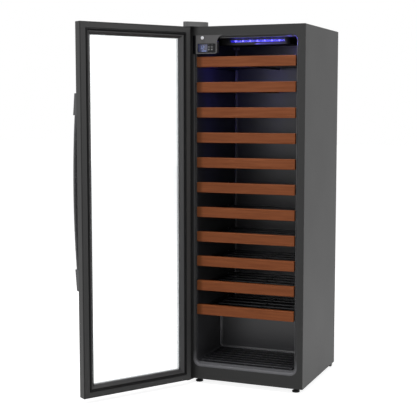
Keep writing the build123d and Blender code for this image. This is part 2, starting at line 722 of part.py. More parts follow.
with BuildPart() as fan_shroud:  # plate and ring round the condenser fan, motor on its spokes
    with BuildSketch(Plane.YZ.offset(SHROUD_X)):
        with Locations((COMPRESSOR_Y, BLOWER_Z)):
            Rectangle(SHROUD_SIZE, SHROUD_SIZE)
            Circle(BLOWER_R + BLOWER_AIR, mode=Mode.SUBTRACT)
            Rectangle(2 * (BLOWER_R + 2 * BLOWER_AIR), SHROUD_SPOKE_W)
            Rectangle(SHROUD_SPOKE_W, 2 * (BLOWER_R + 2 * BLOWER_AIR))
            Circle(MOTOR_R)
    extrude(amount=SHROUD_T)
    with BuildSketch(Plane.YZ.offset(SHROUD_X)):
        with Locations((COMPRESSOR_Y, BLOWER_Z)):
            Circle(BLOWER_R + BLOWER_AIR + SHROUD_T)
            Circle(BLOWER_R + BLOWER_AIR, mode=Mode.SUBTRACT)
    extrude(amount=SHROUD_RING_D)
    with BuildSketch(Plane.YZ.offset(SHROUD_X)):
        with Locations((COMPRESSOR_Y, BLOWER_Z)):
            Circle(MOTOR_R)
    extrude(amount=SHROUD_T + MOTOR_D)
    with BuildSketch(Plane.YZ.offset(SHROUD_X)):
        with Locations((COMPRESSOR_Y, BLOWER_Z)):
            Circle(BLOWER_SHAFT_R)
    extrude(amount=SHROUD_T + MOTOR_D + FAN_AIR + BLOWER_T)
save(fan_shroud.part, "fan_shroud")


def rotor(plane, tip_r, hub_r, thick, blades, bore_r):
    """A fan wheel that starts on a plane and grows along its normal."""
    with BuildPart(plane) as wheel:
        with Locations((0, 0, thick / 2)):
            with PolarLocations((tip_r + hub_r / 2) / 2, blades):
                Box(
                    tip_r - hub_r / 2,
                    BLADE_T,
                    thick / cos(radians(BLADE_PITCH_DEG)),
                    rotation=(BLADE_PITCH_DEG, 0, 0),
                )
        with Locations((0, 0, thick / 2)):
            Cylinder(tip_r, thick, mode=Mode.INTERSECT)
            Cylinder(hub_r, thick)
            Cylinder(bore_r, thick, mode=Mode.SUBTRACT)
    return wheel.part


condenser_fan = rotor(
    Plane(origin=(BLOWER_X, COMPRESSOR_Y, BLOWER_Z), x_dir=(0, 1, 0), z_dir=(1, 0, 0)),
    BLOWER_R,
    BLOWER_HUB_R,
    BLOWER_T,
    BLOWER_BLADES,
    BLOWER_SHAFT_R + SHAFT_CLEARANCE,
)
save(condenser_fan, "condenser_fan")


# ================================================================ feet and hinges

for side, name in ((-1, "front_foot_left"), (1, "front_foot_right")):
    foot_centre = (side * (CABINET_W / 2 - FOOT_INSET_X), 0, 0)
    with BuildPart() as foot:  # round pad on a threaded stud
        with BuildSketch(Plane(foot_centre, x_dir=(1, 0, 0), z_dir=(0, -1, 0))):
            Polygon(
                (0, 0),
                (FOOT_PAD_R, 0),
                (FOOT_PAD_R, FOOT_PAD_T),
                (FOOT_NECK_R, FOOT_PAD_T + FOOT_CONE_H),
                (FOOT_NECK_R, FOOT_H - FOOT_NECK_GAP),
                (STUD_R - SHAFT_CLEARANCE, FOOT_H - FOOT_NECK_GAP),
                (STUD_R - SHAFT_CLEARANCE, FOOT_H + STUD_IN),
                (0, FOOT_H + STUD_IN),
                align=None,
            )
        revolve(axis=Axis(foot_centre, (0, 0, 1)))
    save(foot.part, name)


def hinge_plate(plate_x, plate_y):
    """In a sketch: a plate from a round eye on the hinge line back to the cabinet."""
    with Locations(HINGE):
        Circle(HINGE_EYE_R)
    x = LEFT + (plate_x[0] + plate_x[1]) / 2
    y = FRONT + (plate_y[0] + plate_y[1]) / 2
    with Locations((x, y)):
        Rectangle(plate_x[1] - plate_x[0], plate_y[1] - plate_y[0])
    make_hull()


def pin(low, high, radius):
    """In a part: a pin on the hinge line."""
    with Locations((HINGE[0], HINGE[1], low)):
        Cylinder(radius, high - low, align=(Align.CENTER, Align.CENTER, Align.MIN))


with BuildPart() as top_hinge_bracket:  # bolted to the cabinet's top, pin down into the door
    with BuildSketch(Plane.XY.offset(TOP)):
        hinge_plate(HINGE_PLATE_X, HINGE_PLATE_Y)
    extrude(amount=HINGE_PLATE_T)
    pin(DOOR_HIGH - PIN_IN, TOP + HINGE_PLATE_T, PIN_R)
    pin(TOP + HINGE_PLATE_T, TOP + HINGE_PLATE_T + BOLT_H, PIN_HEAD_R)
    bolt_pitch = (HINGE_PLATE_X[1] - HINGE_PLATE_X[0]) / BOLT_COUNT
    with BuildSketch(Plane.XY.offset(TOP + HINGE_PLATE_T)):
        middle = (
            LEFT + (HINGE_PLATE_X[0] + HINGE_PLATE_X[1]) / 2,
            FRONT + (HINGE_PLATE_Y[0] + HINGE_PLATE_Y[1]) / 2 + BOLT_R,
        )
        with Locations(middle):
            with GridLocations(bolt_pitch, 0, BOLT_COUNT, 1):
                RegularPolygon(BOLT_R, 6)
    extrude(amount=BOLT_H)
save(top_hinge_bracket.part, "top_hinge_bracket")

with BuildPart() as bottom_hinge_bracket:  # under the cabinet, pin up into the door
    with BuildSketch(Plane.XY.offset(BASE - HINGE_PLATE_T)):
        hinge_plate(FOOT_PLATE_X, FOOT_PLATE_Y)
    extrude(amount=HINGE_PLATE_T)
    pin(BASE - HINGE_PLATE_T, DOOR_LOW + PIN_IN, PIN_R)
save(bottom_hinge_bracket.part, "bottom_hinge_bracket")


def cover_outline(inset):
    """In a sketch: the top cover's plan, moved in by inset."""
    with Locations(HINGE):
        Circle(COVER_BOSS_R - inset)
    left = LEFT + COVER_ROUND
    right = LEFT + COVER_REACH_X - COVER_ROUND
    near = FRONT + COVER_NEAR_Y + COVER_ROUND
    far = FRONT + COVER_REACH_Y - COVER_ROUND
    with Locations((right, near), (right, far), (left, far)):
        Circle(COVER_ROUND - inset)
    make_hull()


with BuildPart() as top_hinge_cover:  # hollow cap over the top bracket
    with BuildSketch(Plane.XY.offset(TOP)):
        cover_outline(0)
    extrude(amount=COVER_H)
    fillet(top_hinge_cover.faces().sort_by(Axis.Z)[-1].edges(), COVER_EDGE_R)
    with BuildSketch(Plane.XY.offset(TOP)):
        cover_outline(COVER_T)
    extrude(amount=COVER_H - COVER_T, mode=Mode.SUBTRACT)
save(top_hinge_cover.part, "top_hinge_cover")

# ================================================================ light and control

LIGHT_FRONT = FRONT + LIGHT_SETBACK
LIGHT_LOW = CAVITY_CEILING - LIGHT_H
FAN_Y = LIGHT_FRONT + FAN_SETBACK

with BuildPart() as light_housing:  # tray under the ceiling, round-cornered, with a fan grille
    with BuildSketch(Plane.XY.offset(LIGHT_LOW)):
        with Locations((0, LIGHT_FRONT + LIGHT_D / 2)):
            RectangleRounded(LIGHT_W, LIGHT_D, LIGHT_R)
    extrude(amount=LIGHT_H)
    fillet(light_housing.faces().sort_by(Axis.Z)[0].edges(), LIGHT_WALL)
    with BuildSketch(Plane.XY.offset(LIGHT_LOW + LIGHT_WALL)):
        with Locations((0, LIGHT_FRONT + LIGHT_D / 2)):
            RectangleRounded(
                LIGHT_W - 2 * LIGHT_WALL, LIGHT_D - 2 * LIGHT_WALL, LIGHT_R - LIGHT_WALL
            )
    extrude(amount=LIGHT_H, mode=Mode.SUBTRACT)
    strip_z = (
        CAVITY_CEILING - LENS_STRIP_DOWN - LENS_STRIP_H,
        CAVITY_CEILING - LENS_STRIP_DOWN,
    )
    strip_x = (LENS_STRIP_X - LENS_STRIP_W / 2, LENS_STRIP_X + LENS_STRIP_W / 2)
    block(strip_x, (LIGHT_FRONT - PAST, LIGHT_FRONT + LIGHT_WALL), strip_z, Mode.SUBTRACT)
    with BuildSketch(Plane.XY.offset(LIGHT_LOW - PAST)):
        for side in (-1, 1):
            for n in range(1, GRILLE_SLOTS + 1):
                with Locations((side * n * GRILLE_PITCH, FAN_Y)):
                    SlotOverall(GRILLE_SLOT_L, GRILLE_SLOT_W, rotation=90)
    extrude(amount=LIGHT_WALL + PAST, mode=Mode.SUBTRACT)
    with BuildSketch(Plane.XY.offset(LIGHT_LOW)):
        with Locations((0, FAN_Y)):
            Circle(FAN_BOSS_R)
    extrude(amount=LIGHT_WALL + FAN_BOSS_H)
    with BuildSketch(Plane.XY.offset(LIGHT_LOW)):
        with Locations((0, FAN_Y)):
            Circle(FAN_SHAFT_R)
    extrude(amount=LIGHT_WALL + FAN_BOSS_H + FAN_AIR + FAN_T)
save(light_housing.part, "light_housing")

with BuildPart() as light_lens:  # clear strip in the housing's front, rimmed behind the wall
    block(strip_x, (LIGHT_FRONT - LENS_STRIP_PROUD, LIGHT_FRONT + LIGHT_WALL), strip_z)
    block(
        (strip_x[0] - LENS_STRIP_RIM, strip_x[1] + LENS_STRIP_RIM),
        (LIGHT_FRONT + LIGHT_WALL, LIGHT_FRONT + LENS_STRIP_T),
        (strip_z[0] - LENS_STRIP_RIM, strip_z[1] + LENS_STRIP_RIM),
    )
save(light_lens.part, "light_lens")

circulation_fan = rotor(
    Plane((0, FAN_Y, LIGHT_LOW + LIGHT_WALL + FAN_BOSS_H + FAN_AIR)),
    FAN_R,
    FAN_HUB_R,
    FAN_T,
    FAN_BLADES,
    FAN_SHAFT_R + SHAFT_CLEARANCE,
)
save(circulation_fan, "circulation_fan")

with BuildPart() as control_housing:  # face over the lip, box behind it inside the cavity
    with BuildSketch(upright(FRONT)):
        with BuildLine():
            Polyline(
                (PANEL_LEFT, PANEL_LOW),
                (PANEL_LEFT, PANEL_HIGH),
                (PANEL_RIGHT + PANEL_FLARE, PANEL_HIGH),
            )
            RadiusArc(
                (PANEL_RIGHT + PANEL_FLARE, PANEL_HIGH),
                (PANEL_RIGHT, PANEL_HIGH - PANEL_FLARE),
                -PANEL_FLARE,
            )
            Line((PANEL_RIGHT, PANEL_HIGH - PANEL_FLARE), (PANEL_RIGHT, PANEL_LOW + PANEL_R))
            RadiusArc(
                (PANEL_RIGHT, PANEL_LOW + PANEL_R),
                (PANEL_RIGHT - PANEL_R, PANEL_LOW),
                PANEL_R,
            )
            Line((PANEL_RIGHT - PANEL_R, PANEL_LOW), (PANEL_LEFT, PANEL_LOW))
        make_face()
    extrude(amount=PANEL_T)
    box_x = (PANEL_LEFT + PANEL_BODY_IN, PANEL_RIGHT - PANEL_BODY_IN)
    box_z = (PANEL_LOW + PANEL_BODY_UP, PANEL_LOW + PANEL_BODY_UP + PANEL_BODY_H)
    block(box_x, (FRONT, FRONT + PANEL_BODY_D), box_z)
    block(
        (box_x[0] + PANEL_WALL, box_x[1] - PANEL_WALL),
        (FRONT, FRONT + PANEL_BODY_D),
        (box_z[0] + PANEL_WALL, box_z[1] - PANEL_WALL),
        Mode.SUBTRACT,
    )
    with BuildSketch(upright(PANEL_FACE)):
        window(
            (WINDOW_LEFT, WINDOW_LEFT + WINDOW_W), (WINDOW_LOW, WINDOW_LOW + WINDOW_H), WINDOW_R
        )
    extrude(amount=-WINDOW_DEEP, mode=Mode.SUBTRACT)
    with BuildSketch(upright(PANEL_FACE)):
        with Locations(*KEY_PLACES):
            Rectangle(KEY_W + 2 * FIT, KEY_H + 2 * FIT)
        with Locations(SWITCH_AT):
            Circle(SWITCH_STEM_R + FIT)
    extrude(amount=-PANEL_T, mode=Mode.SUBTRACT)
save(control_housing.part, "control_housing")

with BuildPart() as display_lens:  # display window, and the round sensor lens above it
    block(
        (WINDOW_LEFT + LENS_IN, WINDOW_LEFT + LENS_IN + LENS_W),
        (WINDOW_FLOOR - LENS_T, WINDOW_FLOOR),
        (WINDOW_LOW + LENS_IN, WINDOW_LOW + LENS_IN + LENS_H),
    )
    with BuildSketch(upright(PANEL_FACE)):
        with Locations(SENSOR_AT):
            Circle(SENSOR_R)
    extrude(amount=SENSOR_T)
save(display_lens.part, "display_lens")

for number, (x, z) in enumerate(KEY_PLACES, start=1):
    with BuildPart() as key:  # cap through the face, with a flange that keeps it in
        with BuildSketch(upright(FRONT + FIT)):
            with Locations((x, z)):
                RectangleRounded(KEY_W, KEY_H, KEY_R)
        extrude(amount=FRONT + FIT - WINDOW_FLOOR + KEY_PROUD)
        with BuildSketch(upright(FRONT + FIT)):
            with Locations((x, z)):
                Rectangle(KEY_W + 2 * FLANGE_EXTRA, KEY_H + 2 * FLANGE_EXTRA)
        extrude(amount=-FLANGE_T)
    save(key.part, f"control_key_{number}")

with BuildPart() as door_switch:  # white plunger that tells the light the door is shut
    with BuildSketch(upright(PANEL_FACE - SWITCH_PROUD)):
        with Locations(SWITCH_AT):
            Circle(SWITCH_R)
    extrude(amount=-(SWITCH_PROUD - SWITCH_TRAVEL - FIT))
    fillet(door_switch.edges().filter_by(GeomType.CIRCLE).group_by(Axis.Y)[0], SWITCH_ROUND)
    with BuildSketch(upright(PANEL_FACE - SWITCH_PROUD + SWITCH_ROUND)):
        with Locations(SWITCH_AT):
            Circle(SWITCH_STEM_R)
    extrude(amount=-(SWITCH_PROUD - SWITCH_ROUND + PANEL_T + FIT))
    with BuildSketch(upright(FRONT + FIT)):
        with Locations(SWITCH_AT):
            Circle(SWITCH_FLANGE_R)
    extrude(amount=-FLANGE_T)
save(door_switch.part, "door_switch")

# ================================================================ rails, rack and shelves

with BuildPart() as shelf_rails:  # a channel on each side wall for every shelf
    with BuildSketch(upright(RAIL_FRONT)):
        for side in (-1, 1):
            wall = side * CAVITY_X
            web = wall - side * RAIL_T
            edge = wall - side * RAIL_LEDGE
            for low in RAIL_LOWS:
                Polygon(
                    (wall, low),
                    (edge, low),
                    (edge, low + RAIL_T),
                    (web, low + RAIL_T),
                    (web, low + RAIL_T + RAIL_MOUTH),
                    (edge, low + RAIL_T + RAIL_MOUTH),
                    (edge, low + 2 * RAIL_T + RAIL_MOUTH),
                    (web, low + 2 * RAIL_T + RAIL_MOUTH),
                    (web, low + RAIL_H),
                    (wall, low + RAIL_H),
                    align=None,
                )
    extrude(amount=RAIL_FRONT - RAIL_BACK)
    screw_holes()
save(shelf_rails.part, "shelf_rails")

with BuildPart() as rail_screws:  # two pan-head screws in every rail
    for side in (-1, 1):
        places = [(side * CAVITY_X, y, z) for s, y, z in rail_screw_places() if s == side]
        seat = side * (CAVITY_X - RAIL_T)
        with BuildSketch(Plane.YZ.offset(seat)):
            with Locations(*[(y, z) for _, y, z in places]):
                Circle(SCREW_R)
        extrude(amount=side * (RAIL_T + LINER_T))
        with BuildSketch(Plane.YZ.offset(seat)):
            with Locations(*[(y, z) for _, y, z in places]):
                Circle(SCREW_HEAD_R)
        extrude(amount=-side * SCREW_HEAD_T)
save(rail_screws.part, "rail_screws")


def rack_slats():
    """The floor rack's bearers along the sides and middle, and the slats across them."""
    half = CAVITY_X - RACK_GAP
    near = FRONT + RACK_SETBACK
    far = STEP_FRONT - RACK_STEP_GAP
    slat_low = CAVITY_FLOOR + RACK_BEARER_H
    slat_pitch = (far - near - RACK_SLAT_W) / (RACK_SLATS - 1)
    bearer_x = CAVITY_X - LINER_R - RACK_BEARER_GAP
    bearer_pitch = (2 * bearer_x - RACK_BEARER_W) / (RACK_BEARERS - 1)
    for n in range(RACK_BEARERS):
        x = -bearer_x + n * bearer_pitch
        yield loose_block((x, x + RACK_BEARER_W), (near, far), (CAVITY_FLOOR, slat_low))
    for n in range(RACK_SLATS):
        y = near + n * slat_pitch
        yield loose_block((-half, half), (y, y + RACK_SLAT_W), (slat_low, slat_low + RACK_SLAT_T))


save(Compound(list(rack_slats())), "floor_rack")


def deck_pieces(low):
    """A deck: side bars and a spine, slats across them, and the upstand behind the band."""
    x = CAVITY_X - RAIL_T - RUN_CLEARANCE
    far = CAVITY_BACK - DECK_BACK_GAP
    behind_lip = BAND_BACK + DECK_LIP_T
    top = low + RUNNER_T
    yield loose_block((-x, SIDE_BAR_W - x), (BAND_BACK, far), (low, top))
    yield loose_block((x - SIDE_BAR_W, x), (BAND_BACK, far), (low, top))
    yield loose_block((-SPINE_W / 2, SPINE_W / 2), (behind_lip, far), (low, top))
    lip_x = BAND_W / 2 - DECK_LIP_IN
    yield loose_block((-lip_x, lip_x), (BAND_BACK, behind_lip), (low, low + DECK_LIP_H))
    slat_x = CAVITY_X - RAIL_LEDGE - RUN_CLEARANCE
    slat_pitch = (far - behind_lip - SLAT_W) / (SLAT_COUNT - 1)
    for n in range(SLAT_COUNT):
        y = behind_lip + n * slat_pitch
        yield loose_block((-slat_x, slat_x), (y, y + SLAT_W), (top, top + SLAT_T))


for number, band_top in enumerate(reversed(BAND_TOPS), start=1):
    with BuildPart() as shelf_front:  # wooden band across the front of the shelf
        with BuildSketch(upright(FRONT + BAND_SETBACK)):
            window((-BAND_W / 2, BAND_W / 2), (band_top - BAND_H, band_top), BAND_R)
        extrude(amount=-BAND_T)
        fillet(shelf_front.faces().sort_by(Axis.Y)[0].edges(), BAND_EDGE_R)
    save(shelf_front.part, f"shelf_{number:02d}_front")

    deck_low = band_top - RAIL_DROP + RAIL_T + RUN_CLEARANCE
    save(Compound(list(deck_pieces(deck_low))), f"shelf_{number:02d}_deck")


# ================================================================ door, drawn shut


def door_window(edge, mode=Mode.ADD):
    """In an upright sketch: a rectangle that keeps edge from each side of the door."""
    window((LEFT + edge, RIGHT - edge), (DOOR_LOW + edge, DOOR_HIGH - edge), mode=mode)


def sight_window(grow=0.0, mode=Mode.ADD):
    """In an upright sketch: the clear glass, grown outwards by grow."""
    window(
        (LEFT + SIGHT_X - grow, RIGHT - SIGHT_X + grow),
        (DOOR_LOW + SIGHT_Z - grow, DOOR_HIGH - SIGHT_Z + grow),
        mode=mode,
    )


PANE_IN = DOOR_IN - TRIM_T  # the inner pane's face towards the cabinet
PANE_OUT = DOOR_OUT + PANE_RECESS  # the outer pane's face towards the room

with BuildPart() as door_frame:  # deep metal frame with a rib between the panes
    block((LEFT, RIGHT), (DOOR_OUT, DOOR_IN), (DOOR_LOW, DOOR_HIGH))
    fillet(door_frame.edges(), DOOR_R)
    with BuildSketch(upright(DOOR_IN)):
        sight_window()
    extrude(amount=DOOR_T, mode=Mode.SUBTRACT)
    with BuildSketch(upright(DOOR_IN)):
        door_window(TRIM_EDGE)
    extrude(amount=TRIM_T, mode=Mode.SUBTRACT)
    with BuildSketch(upright(PANE_IN)):
        sight_window(PANE_HOLD)
    extrude(amount=PANE_T, mode=Mode.SUBTRACT)
    with BuildSketch(upright(DOOR_OUT)):
        sight_window(PANE_HOLD)
    extrude(amount=-(PANE_RECESS + PANE_T), mode=Mode.SUBTRACT)
    bore_depth = PIN_IN + PIN_END_GAP
    for low in (DOOR_LOW, DOOR_HIGH - bore_depth):
        with Locations((HINGE[0], HINGE[1], low)):
            Cylinder(
                PIN_R + SHAFT_CLEARANCE,
                bore_depth,
                align=(Align.CENTER, Align.CENTER, Align.MIN),
                mode=Mode.SUBTRACT,
            )
save_on_door(door_frame.part, "door_frame")

with BuildPart() as door_inner_trim:  # dark ring that slopes from the gasket down to the glass
    with BuildSketch(upright(DOOR_IN)):
        door_window(TRIM_EDGE)
        sight_window(mode=Mode.SUBTRACT)
    extrude(amount=TRIM_T)
    with BuildSketch(upright(DOOR_IN)):
        door_window(TRIM_EDGE + TRIM_LAND)
    with BuildSketch(upright(DOOR_IN - TRIM_SLOPE_T)):
        sight_window()
    loft(mode=Mode.SUBTRACT)
save_on_door(door_inner_trim.part, "door_inner_trim")

with BuildPart() as glass_panes:  # inner and outer pane of the double glazing
    for front in (PANE_IN, PANE_OUT + PANE_T):
        with BuildSketch(upright(front)):
            sight_window(PANE_HOLD - PANE_AIR)
        extrude(amount=PANE_T)
save_on_door(glass_panes.part, "glass_panes")

with BuildPart() as door_gasket:  # flat flange in the door, hollow bulb towards the cabinet
    with BuildSketch(upright(DOOR_IN)):
        door_window(GASKET_INSET)
        door_window(GASKET_INSET + GASKET_W, Mode.SUBTRACT)
    extrude(amount=-GASKET_BASE_T)
    with BuildSketch(upright(DOOR_IN)):
        door_window(GASKET_INSET + GASKET_BULB_INSET)
        door_window(GASKET_INSET + GASKET_W - GASKET_BULB_INSET, Mode.SUBTRACT)
    extrude(amount=-(DOOR_GAP - GASKET_AIR))
    fillet(door_gasket.faces().sort_by(Axis.Y)[-1].edges(), GASKET_BULB_R)
save_on_door(door_gasket.part, "door_gasket")

HANDLE_X = (RIGHT - HANDLE_INSET - HANDLE_W, RIGHT - HANDLE_INSET)
HANDLE_BOTTOM = BASE + HANDLE_LOW
HANDLE_TOP = HANDLE_BOTTOM + HANDLE_LENGTH
GRIP_BOTTOM = HANDLE_BOTTOM + BLOCK_LENGTH
GRIP_TOP = HANDLE_TOP - BLOCK_LENGTH

with BuildPart() as handle_mounts:  # wedges on the door, thick end towards the grip
    with BuildSketch(Plane.YZ.offset(HANDLE_X[0])):
        for tip, root in ((HANDLE_BOTTOM, GRIP_BOTTOM), (HANDLE_TOP, GRIP_TOP)):
            Polygon(
                (DOOR_OUT, tip),
                (DOOR_OUT - BLOCK_OUT_END, tip),
                (DOOR_OUT - BLOCK_OUT_GRIP, root),
                (DOOR_OUT, root),
                align=None,
            )
    extrude(amount=HANDLE_W)
    on_door = handle_mounts.edges().group_by(Axis.Y)[-1]
    at_grip = [
        edge
        for edge in handle_mounts.edges()
        if GRIP_BOTTOM - NEARBY < edge.center().Z < GRIP_TOP + NEARBY
    ]
    fillet([e for e in handle_mounts.edges() if e not in list(on_door) + at_grip], HANDLE_R)

with BuildPart() as handle_grip:  # bowed bar between the mounts
    middle_z = (GRIP_BOTTOM + GRIP_TOP) / 2
    with BuildSketch(Plane.YZ.offset(HANDLE_X[0])):
        with BuildLine():
            end_out = DOOR_OUT - GRIP_OUT_END
            middle_out = DOOR_OUT - GRIP_OUT_MIDDLE
            ThreePointArc((end_out, GRIP_BOTTOM), (middle_out, middle_z), (end_out, GRIP_TOP))
            Line((end_out, GRIP_TOP), (end_out + GRIP_T, GRIP_TOP))
            ThreePointArc(
                (end_out + GRIP_T, GRIP_TOP),
                (middle_out + GRIP_T, middle_z),
                (end_out + GRIP_T, GRIP_BOTTOM),
            )
            Line((end_out + GRIP_T, GRIP_BOTTOM), (end_out, GRIP_BOTTOM))
        make_face()
    extrude(amount=HANDLE_W)
    along = handle_grip.edges().filter_by(GeomType.CIRCLE)
    fillet(along, HANDLE_R)
save_on_door(Compound(handle_mounts.solids() + handle_grip.solids()), "door_handle")
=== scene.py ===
# %% [markdown]
# # A tall wine cooler with its door open
# The real thing is a black steel cabinet round a dark plastic tub, with a glass door, wooden shelf fronts
# and a strip of blue lights under the ceiling. The construction comes in as a fixed model. This lesson gives
# every piece its finish, adds the small things that make it look real, and then lights it.

# %% Load the construction
import json
import math

import bmesh
import bpy
from mathutils import Matrix, Vector


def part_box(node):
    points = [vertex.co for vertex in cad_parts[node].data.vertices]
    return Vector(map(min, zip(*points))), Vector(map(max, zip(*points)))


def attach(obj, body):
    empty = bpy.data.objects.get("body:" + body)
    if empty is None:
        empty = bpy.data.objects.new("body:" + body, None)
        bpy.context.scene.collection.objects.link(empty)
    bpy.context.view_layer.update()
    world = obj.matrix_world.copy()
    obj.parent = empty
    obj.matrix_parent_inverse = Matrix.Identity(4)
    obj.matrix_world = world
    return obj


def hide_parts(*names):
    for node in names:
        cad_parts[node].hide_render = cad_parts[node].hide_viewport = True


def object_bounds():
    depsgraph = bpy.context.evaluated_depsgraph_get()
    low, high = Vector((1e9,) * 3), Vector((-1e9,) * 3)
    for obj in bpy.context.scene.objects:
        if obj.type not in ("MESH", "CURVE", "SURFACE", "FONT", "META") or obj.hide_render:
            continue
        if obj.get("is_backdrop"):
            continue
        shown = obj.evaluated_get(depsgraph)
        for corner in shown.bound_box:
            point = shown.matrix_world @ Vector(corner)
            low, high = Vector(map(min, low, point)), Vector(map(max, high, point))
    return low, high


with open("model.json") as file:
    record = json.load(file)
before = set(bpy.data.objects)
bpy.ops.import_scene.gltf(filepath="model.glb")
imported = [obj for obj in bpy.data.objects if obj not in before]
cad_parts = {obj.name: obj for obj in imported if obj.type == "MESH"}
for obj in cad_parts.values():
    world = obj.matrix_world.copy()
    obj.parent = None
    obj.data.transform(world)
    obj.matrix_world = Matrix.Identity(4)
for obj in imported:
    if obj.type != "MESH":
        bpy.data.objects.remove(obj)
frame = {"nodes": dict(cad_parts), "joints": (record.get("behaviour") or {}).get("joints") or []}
nodes = frame["nodes"]
joints = {joint["name"]: joint for joint in frame["joints"]}
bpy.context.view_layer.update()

# %% [markdown]
# Everything is placed from the pieces that are already there. The cabinet's shell gives the outside, and the
# door's joint gives the hinge line and the angle that the door stands open. New pieces for the door are
# made as if it were shut, where they are easy to think about, and are then swung open about that line.

# %% Places that the rest uses
MM = 0.001
shell_low, shell_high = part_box("outer_shell")
panel_low, panel_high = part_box("control_housing")
back_low, back_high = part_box("back_panel")
seal_low, seal_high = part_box("door_gasket")
door_low, door_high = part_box("door_frame")
door_joint = joints["door_hinge"]
hinge = Vector((door_joint["pos_m"][0], door_joint["pos_m"][1], 0))
open_angle = math.radians(door_joint["range_deg"][1])
DOOR_GAP = 10 * MM  # between the cabinet's face and the shut door, filled by the seal
DOOR_T = 42 * MM
door_in = shell_low.y - DOOR_GAP
door_out = door_in - DOOR_T
print("the door stands open at", round(math.degrees(open_angle)), "degrees")

# %% [markdown]
# ## Helpers
# A finished piece keeps its place in its mesh and its object at the origin, as the loaded pieces do. One
# helper turns a bmesh into such an object, gives it a material and lets it ride on a body.


# %% From a bmesh to a piece that rides on a body
SAME_SPOT = 0.01 * MM  # corners closer than this are one corner


def add_piece(bm, name, body, material, replaces=(), smooth_deg=35):
    bmesh.ops.recalc_face_normals(bm, faces=bm.faces)
    mesh = bpy.data.meshes.new(name)
    bm.to_mesh(mesh)
    bm.free()
    mesh.polygons.foreach_set("use_smooth", [True] * len(mesh.polygons))
    mesh.set_sharp_from_angle(angle=math.radians(smooth_deg))
    mesh.materials.append(material)
    piece = bpy.data.objects.new(name, mesh)
    bpy.context.scene.collection.objects.link(piece)
    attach(piece, body)
    if replaces:
        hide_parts(*replaces)
    return piece


def bevel_edges(bm, edges, offset, segments=2, clamp=False):
    """Round some edges evenly."""
    bmesh.ops.bevel(
        bm,
        geom=edges,
        offset=offset,
        segments=segments,
        profile=0.5,
        affect="EDGES",
        material=-1,
        clamp_overlap=clamp,
    )


def rounded_block(bm, low, high, radius, segments=3):
    """A block between two corners with every edge rounded."""
    low, high = Vector(low), Vector(high)
    made = bmesh.ops.create_cube(bm, size=1)
    bmesh.ops.scale(bm, verts=made["verts"], vec=high - low)
    bmesh.ops.translate(bm, verts=made["verts"], vec=(low + high) / 2)
    edges = list({edge for vert in made["verts"] for edge in vert.link_edges})
    bevel_edges(bm, edges, radius, segments)


def disc(bm, centre, radius, thickness, segments=32):
    """A short round plate whose axis runs from front to back."""
    bmesh.ops.create_cone(
        bm,
        cap_ends=True,
        segments=segments,
        radius1=radius,
        radius2=radius,
        depth=thickness,
        matrix=Matrix.Translation(centre) @ Matrix.Rotation(math.radians(90), 4, "X"),
    )


def upright_sheet(bm, size, centre, turn_deg):
    """One upright face of a given width and height, which looks to the front or, at -90, to the back."""
    verts = bmesh.ops.create_grid(bm, x_segments=1, y_segments=1, size=0.5)["verts"]
    turn = Matrix.Rotation(math.radians(turn_deg), 3, "X")
    bmesh.ops.rotate(bm, verts=verts, cent=(0, 0, 0), matrix=turn)
    bmesh.ops.scale(bm, verts=verts, vec=(size[0], 1, size[1]))
    bmesh.ops.translate(bm, verts=verts, vec=centre)
    return verts[0].link_faces[0]


def thickened(bm, faces, shift):
    """Give flat faces a thickness along SHIFT. Returns the far corners."""
    walls = bmesh.ops.extrude_face_region(bm, geom=faces, use_keep_orig=True)["geom"]
    moved = [item for item in walls if isinstance(item, bmesh.types.BMVert)]
    bmesh.ops.translate(bm, verts=moved, vec=shift)
    return moved


def upright_ring(bm, low, high, width, near, far):
    """A rectangular ring that stands upright between two depths, with mitred corners."""
    centre = ((low[0] + high[0]) / 2, near, (low[1] + high[1]) / 2)
    middle_face = upright_sheet(bm, (high[0] - low[0], high[1] - low[1]), centre, 90)
    ring = bmesh.ops.inset_region(
        bm, faces=[middle_face], thickness=width, use_boundary=True, use_even_offset=True
    )["faces"]
    bmesh.ops.delete(bm, geom=[middle_face], context="FACES_ONLY")
    thickened(bm, ring, (0, far - near, 0))


def traced_ring(bm, size, centre, section):
    """A ring round a rectangle. Each step of its section, in mm, goes inwards and rises from the door."""
    face = upright_sheet(bm, size, centre, -90)
    for inset, rise in section:
        bmesh.ops.inset_region(
            bm,
            faces=[face],
            thickness=inset * MM,
            depth=rise * MM,
            use_boundary=True,
            use_even_offset=True,
        )
    bmesh.ops.delete(bm, geom=[face], context="FACES_ONLY")
    bmesh.ops.bridge_loops(bm, edges=[edge for edge in bm.edges if edge.is_boundary])


def turned(bm, profile, centre, segments=48):
    """A closed profile of (radius, height) pairs, spun once about an upright axis."""
    points = [bm.verts.new((radius, 0, height)) for radius, height in profile]
    edges = [bm.edges.new(pair) for pair in zip(points, points[1:])]
    bmesh.ops.spin(
        bm,
        geom=points + edges,
        cent=(0, 0, 0),
        axis=(0, 0, 1),
        angle=math.radians(360),
        steps=segments,
        use_merge=True,
    )
    bmesh.ops.remove_doubles(bm, verts=bm.verts, dist=SAME_SPOT)
    bmesh.ops.translate(bm, verts=bm.verts, vec=centre)


def softened(node_name, radius, turn_deg=40):
    """A merged copy of a loaded piece, with its sharp edges rounded."""
    bm = bmesh.new()
    bm.from_mesh(nodes[node_name].data)
    bmesh.ops.remove_doubles(bm, verts=bm.verts, dist=SAME_SPOT)
    bmesh.ops.dissolve_limit(bm, angle_limit=math.radians(1), verts=bm.verts, edges=bm.edges)
    sharp = [
        edge
        for edge in bm.edges
        if len(edge.link_faces) == 2 and edge.calc_face_angle() > math.radians(turn_deg)
    ]
    bevel_edges(bm, sharp, radius, clamp=True)
    return bm


def swing_open(bm):
    """Turn a piece that was made on the shut door to where the door stands."""
    turn = Matrix.Rotation(-open_angle, 3, "Z")
    bmesh.ops.rotate(bm, verts=bm.verts, cent=hinge, matrix=turn)


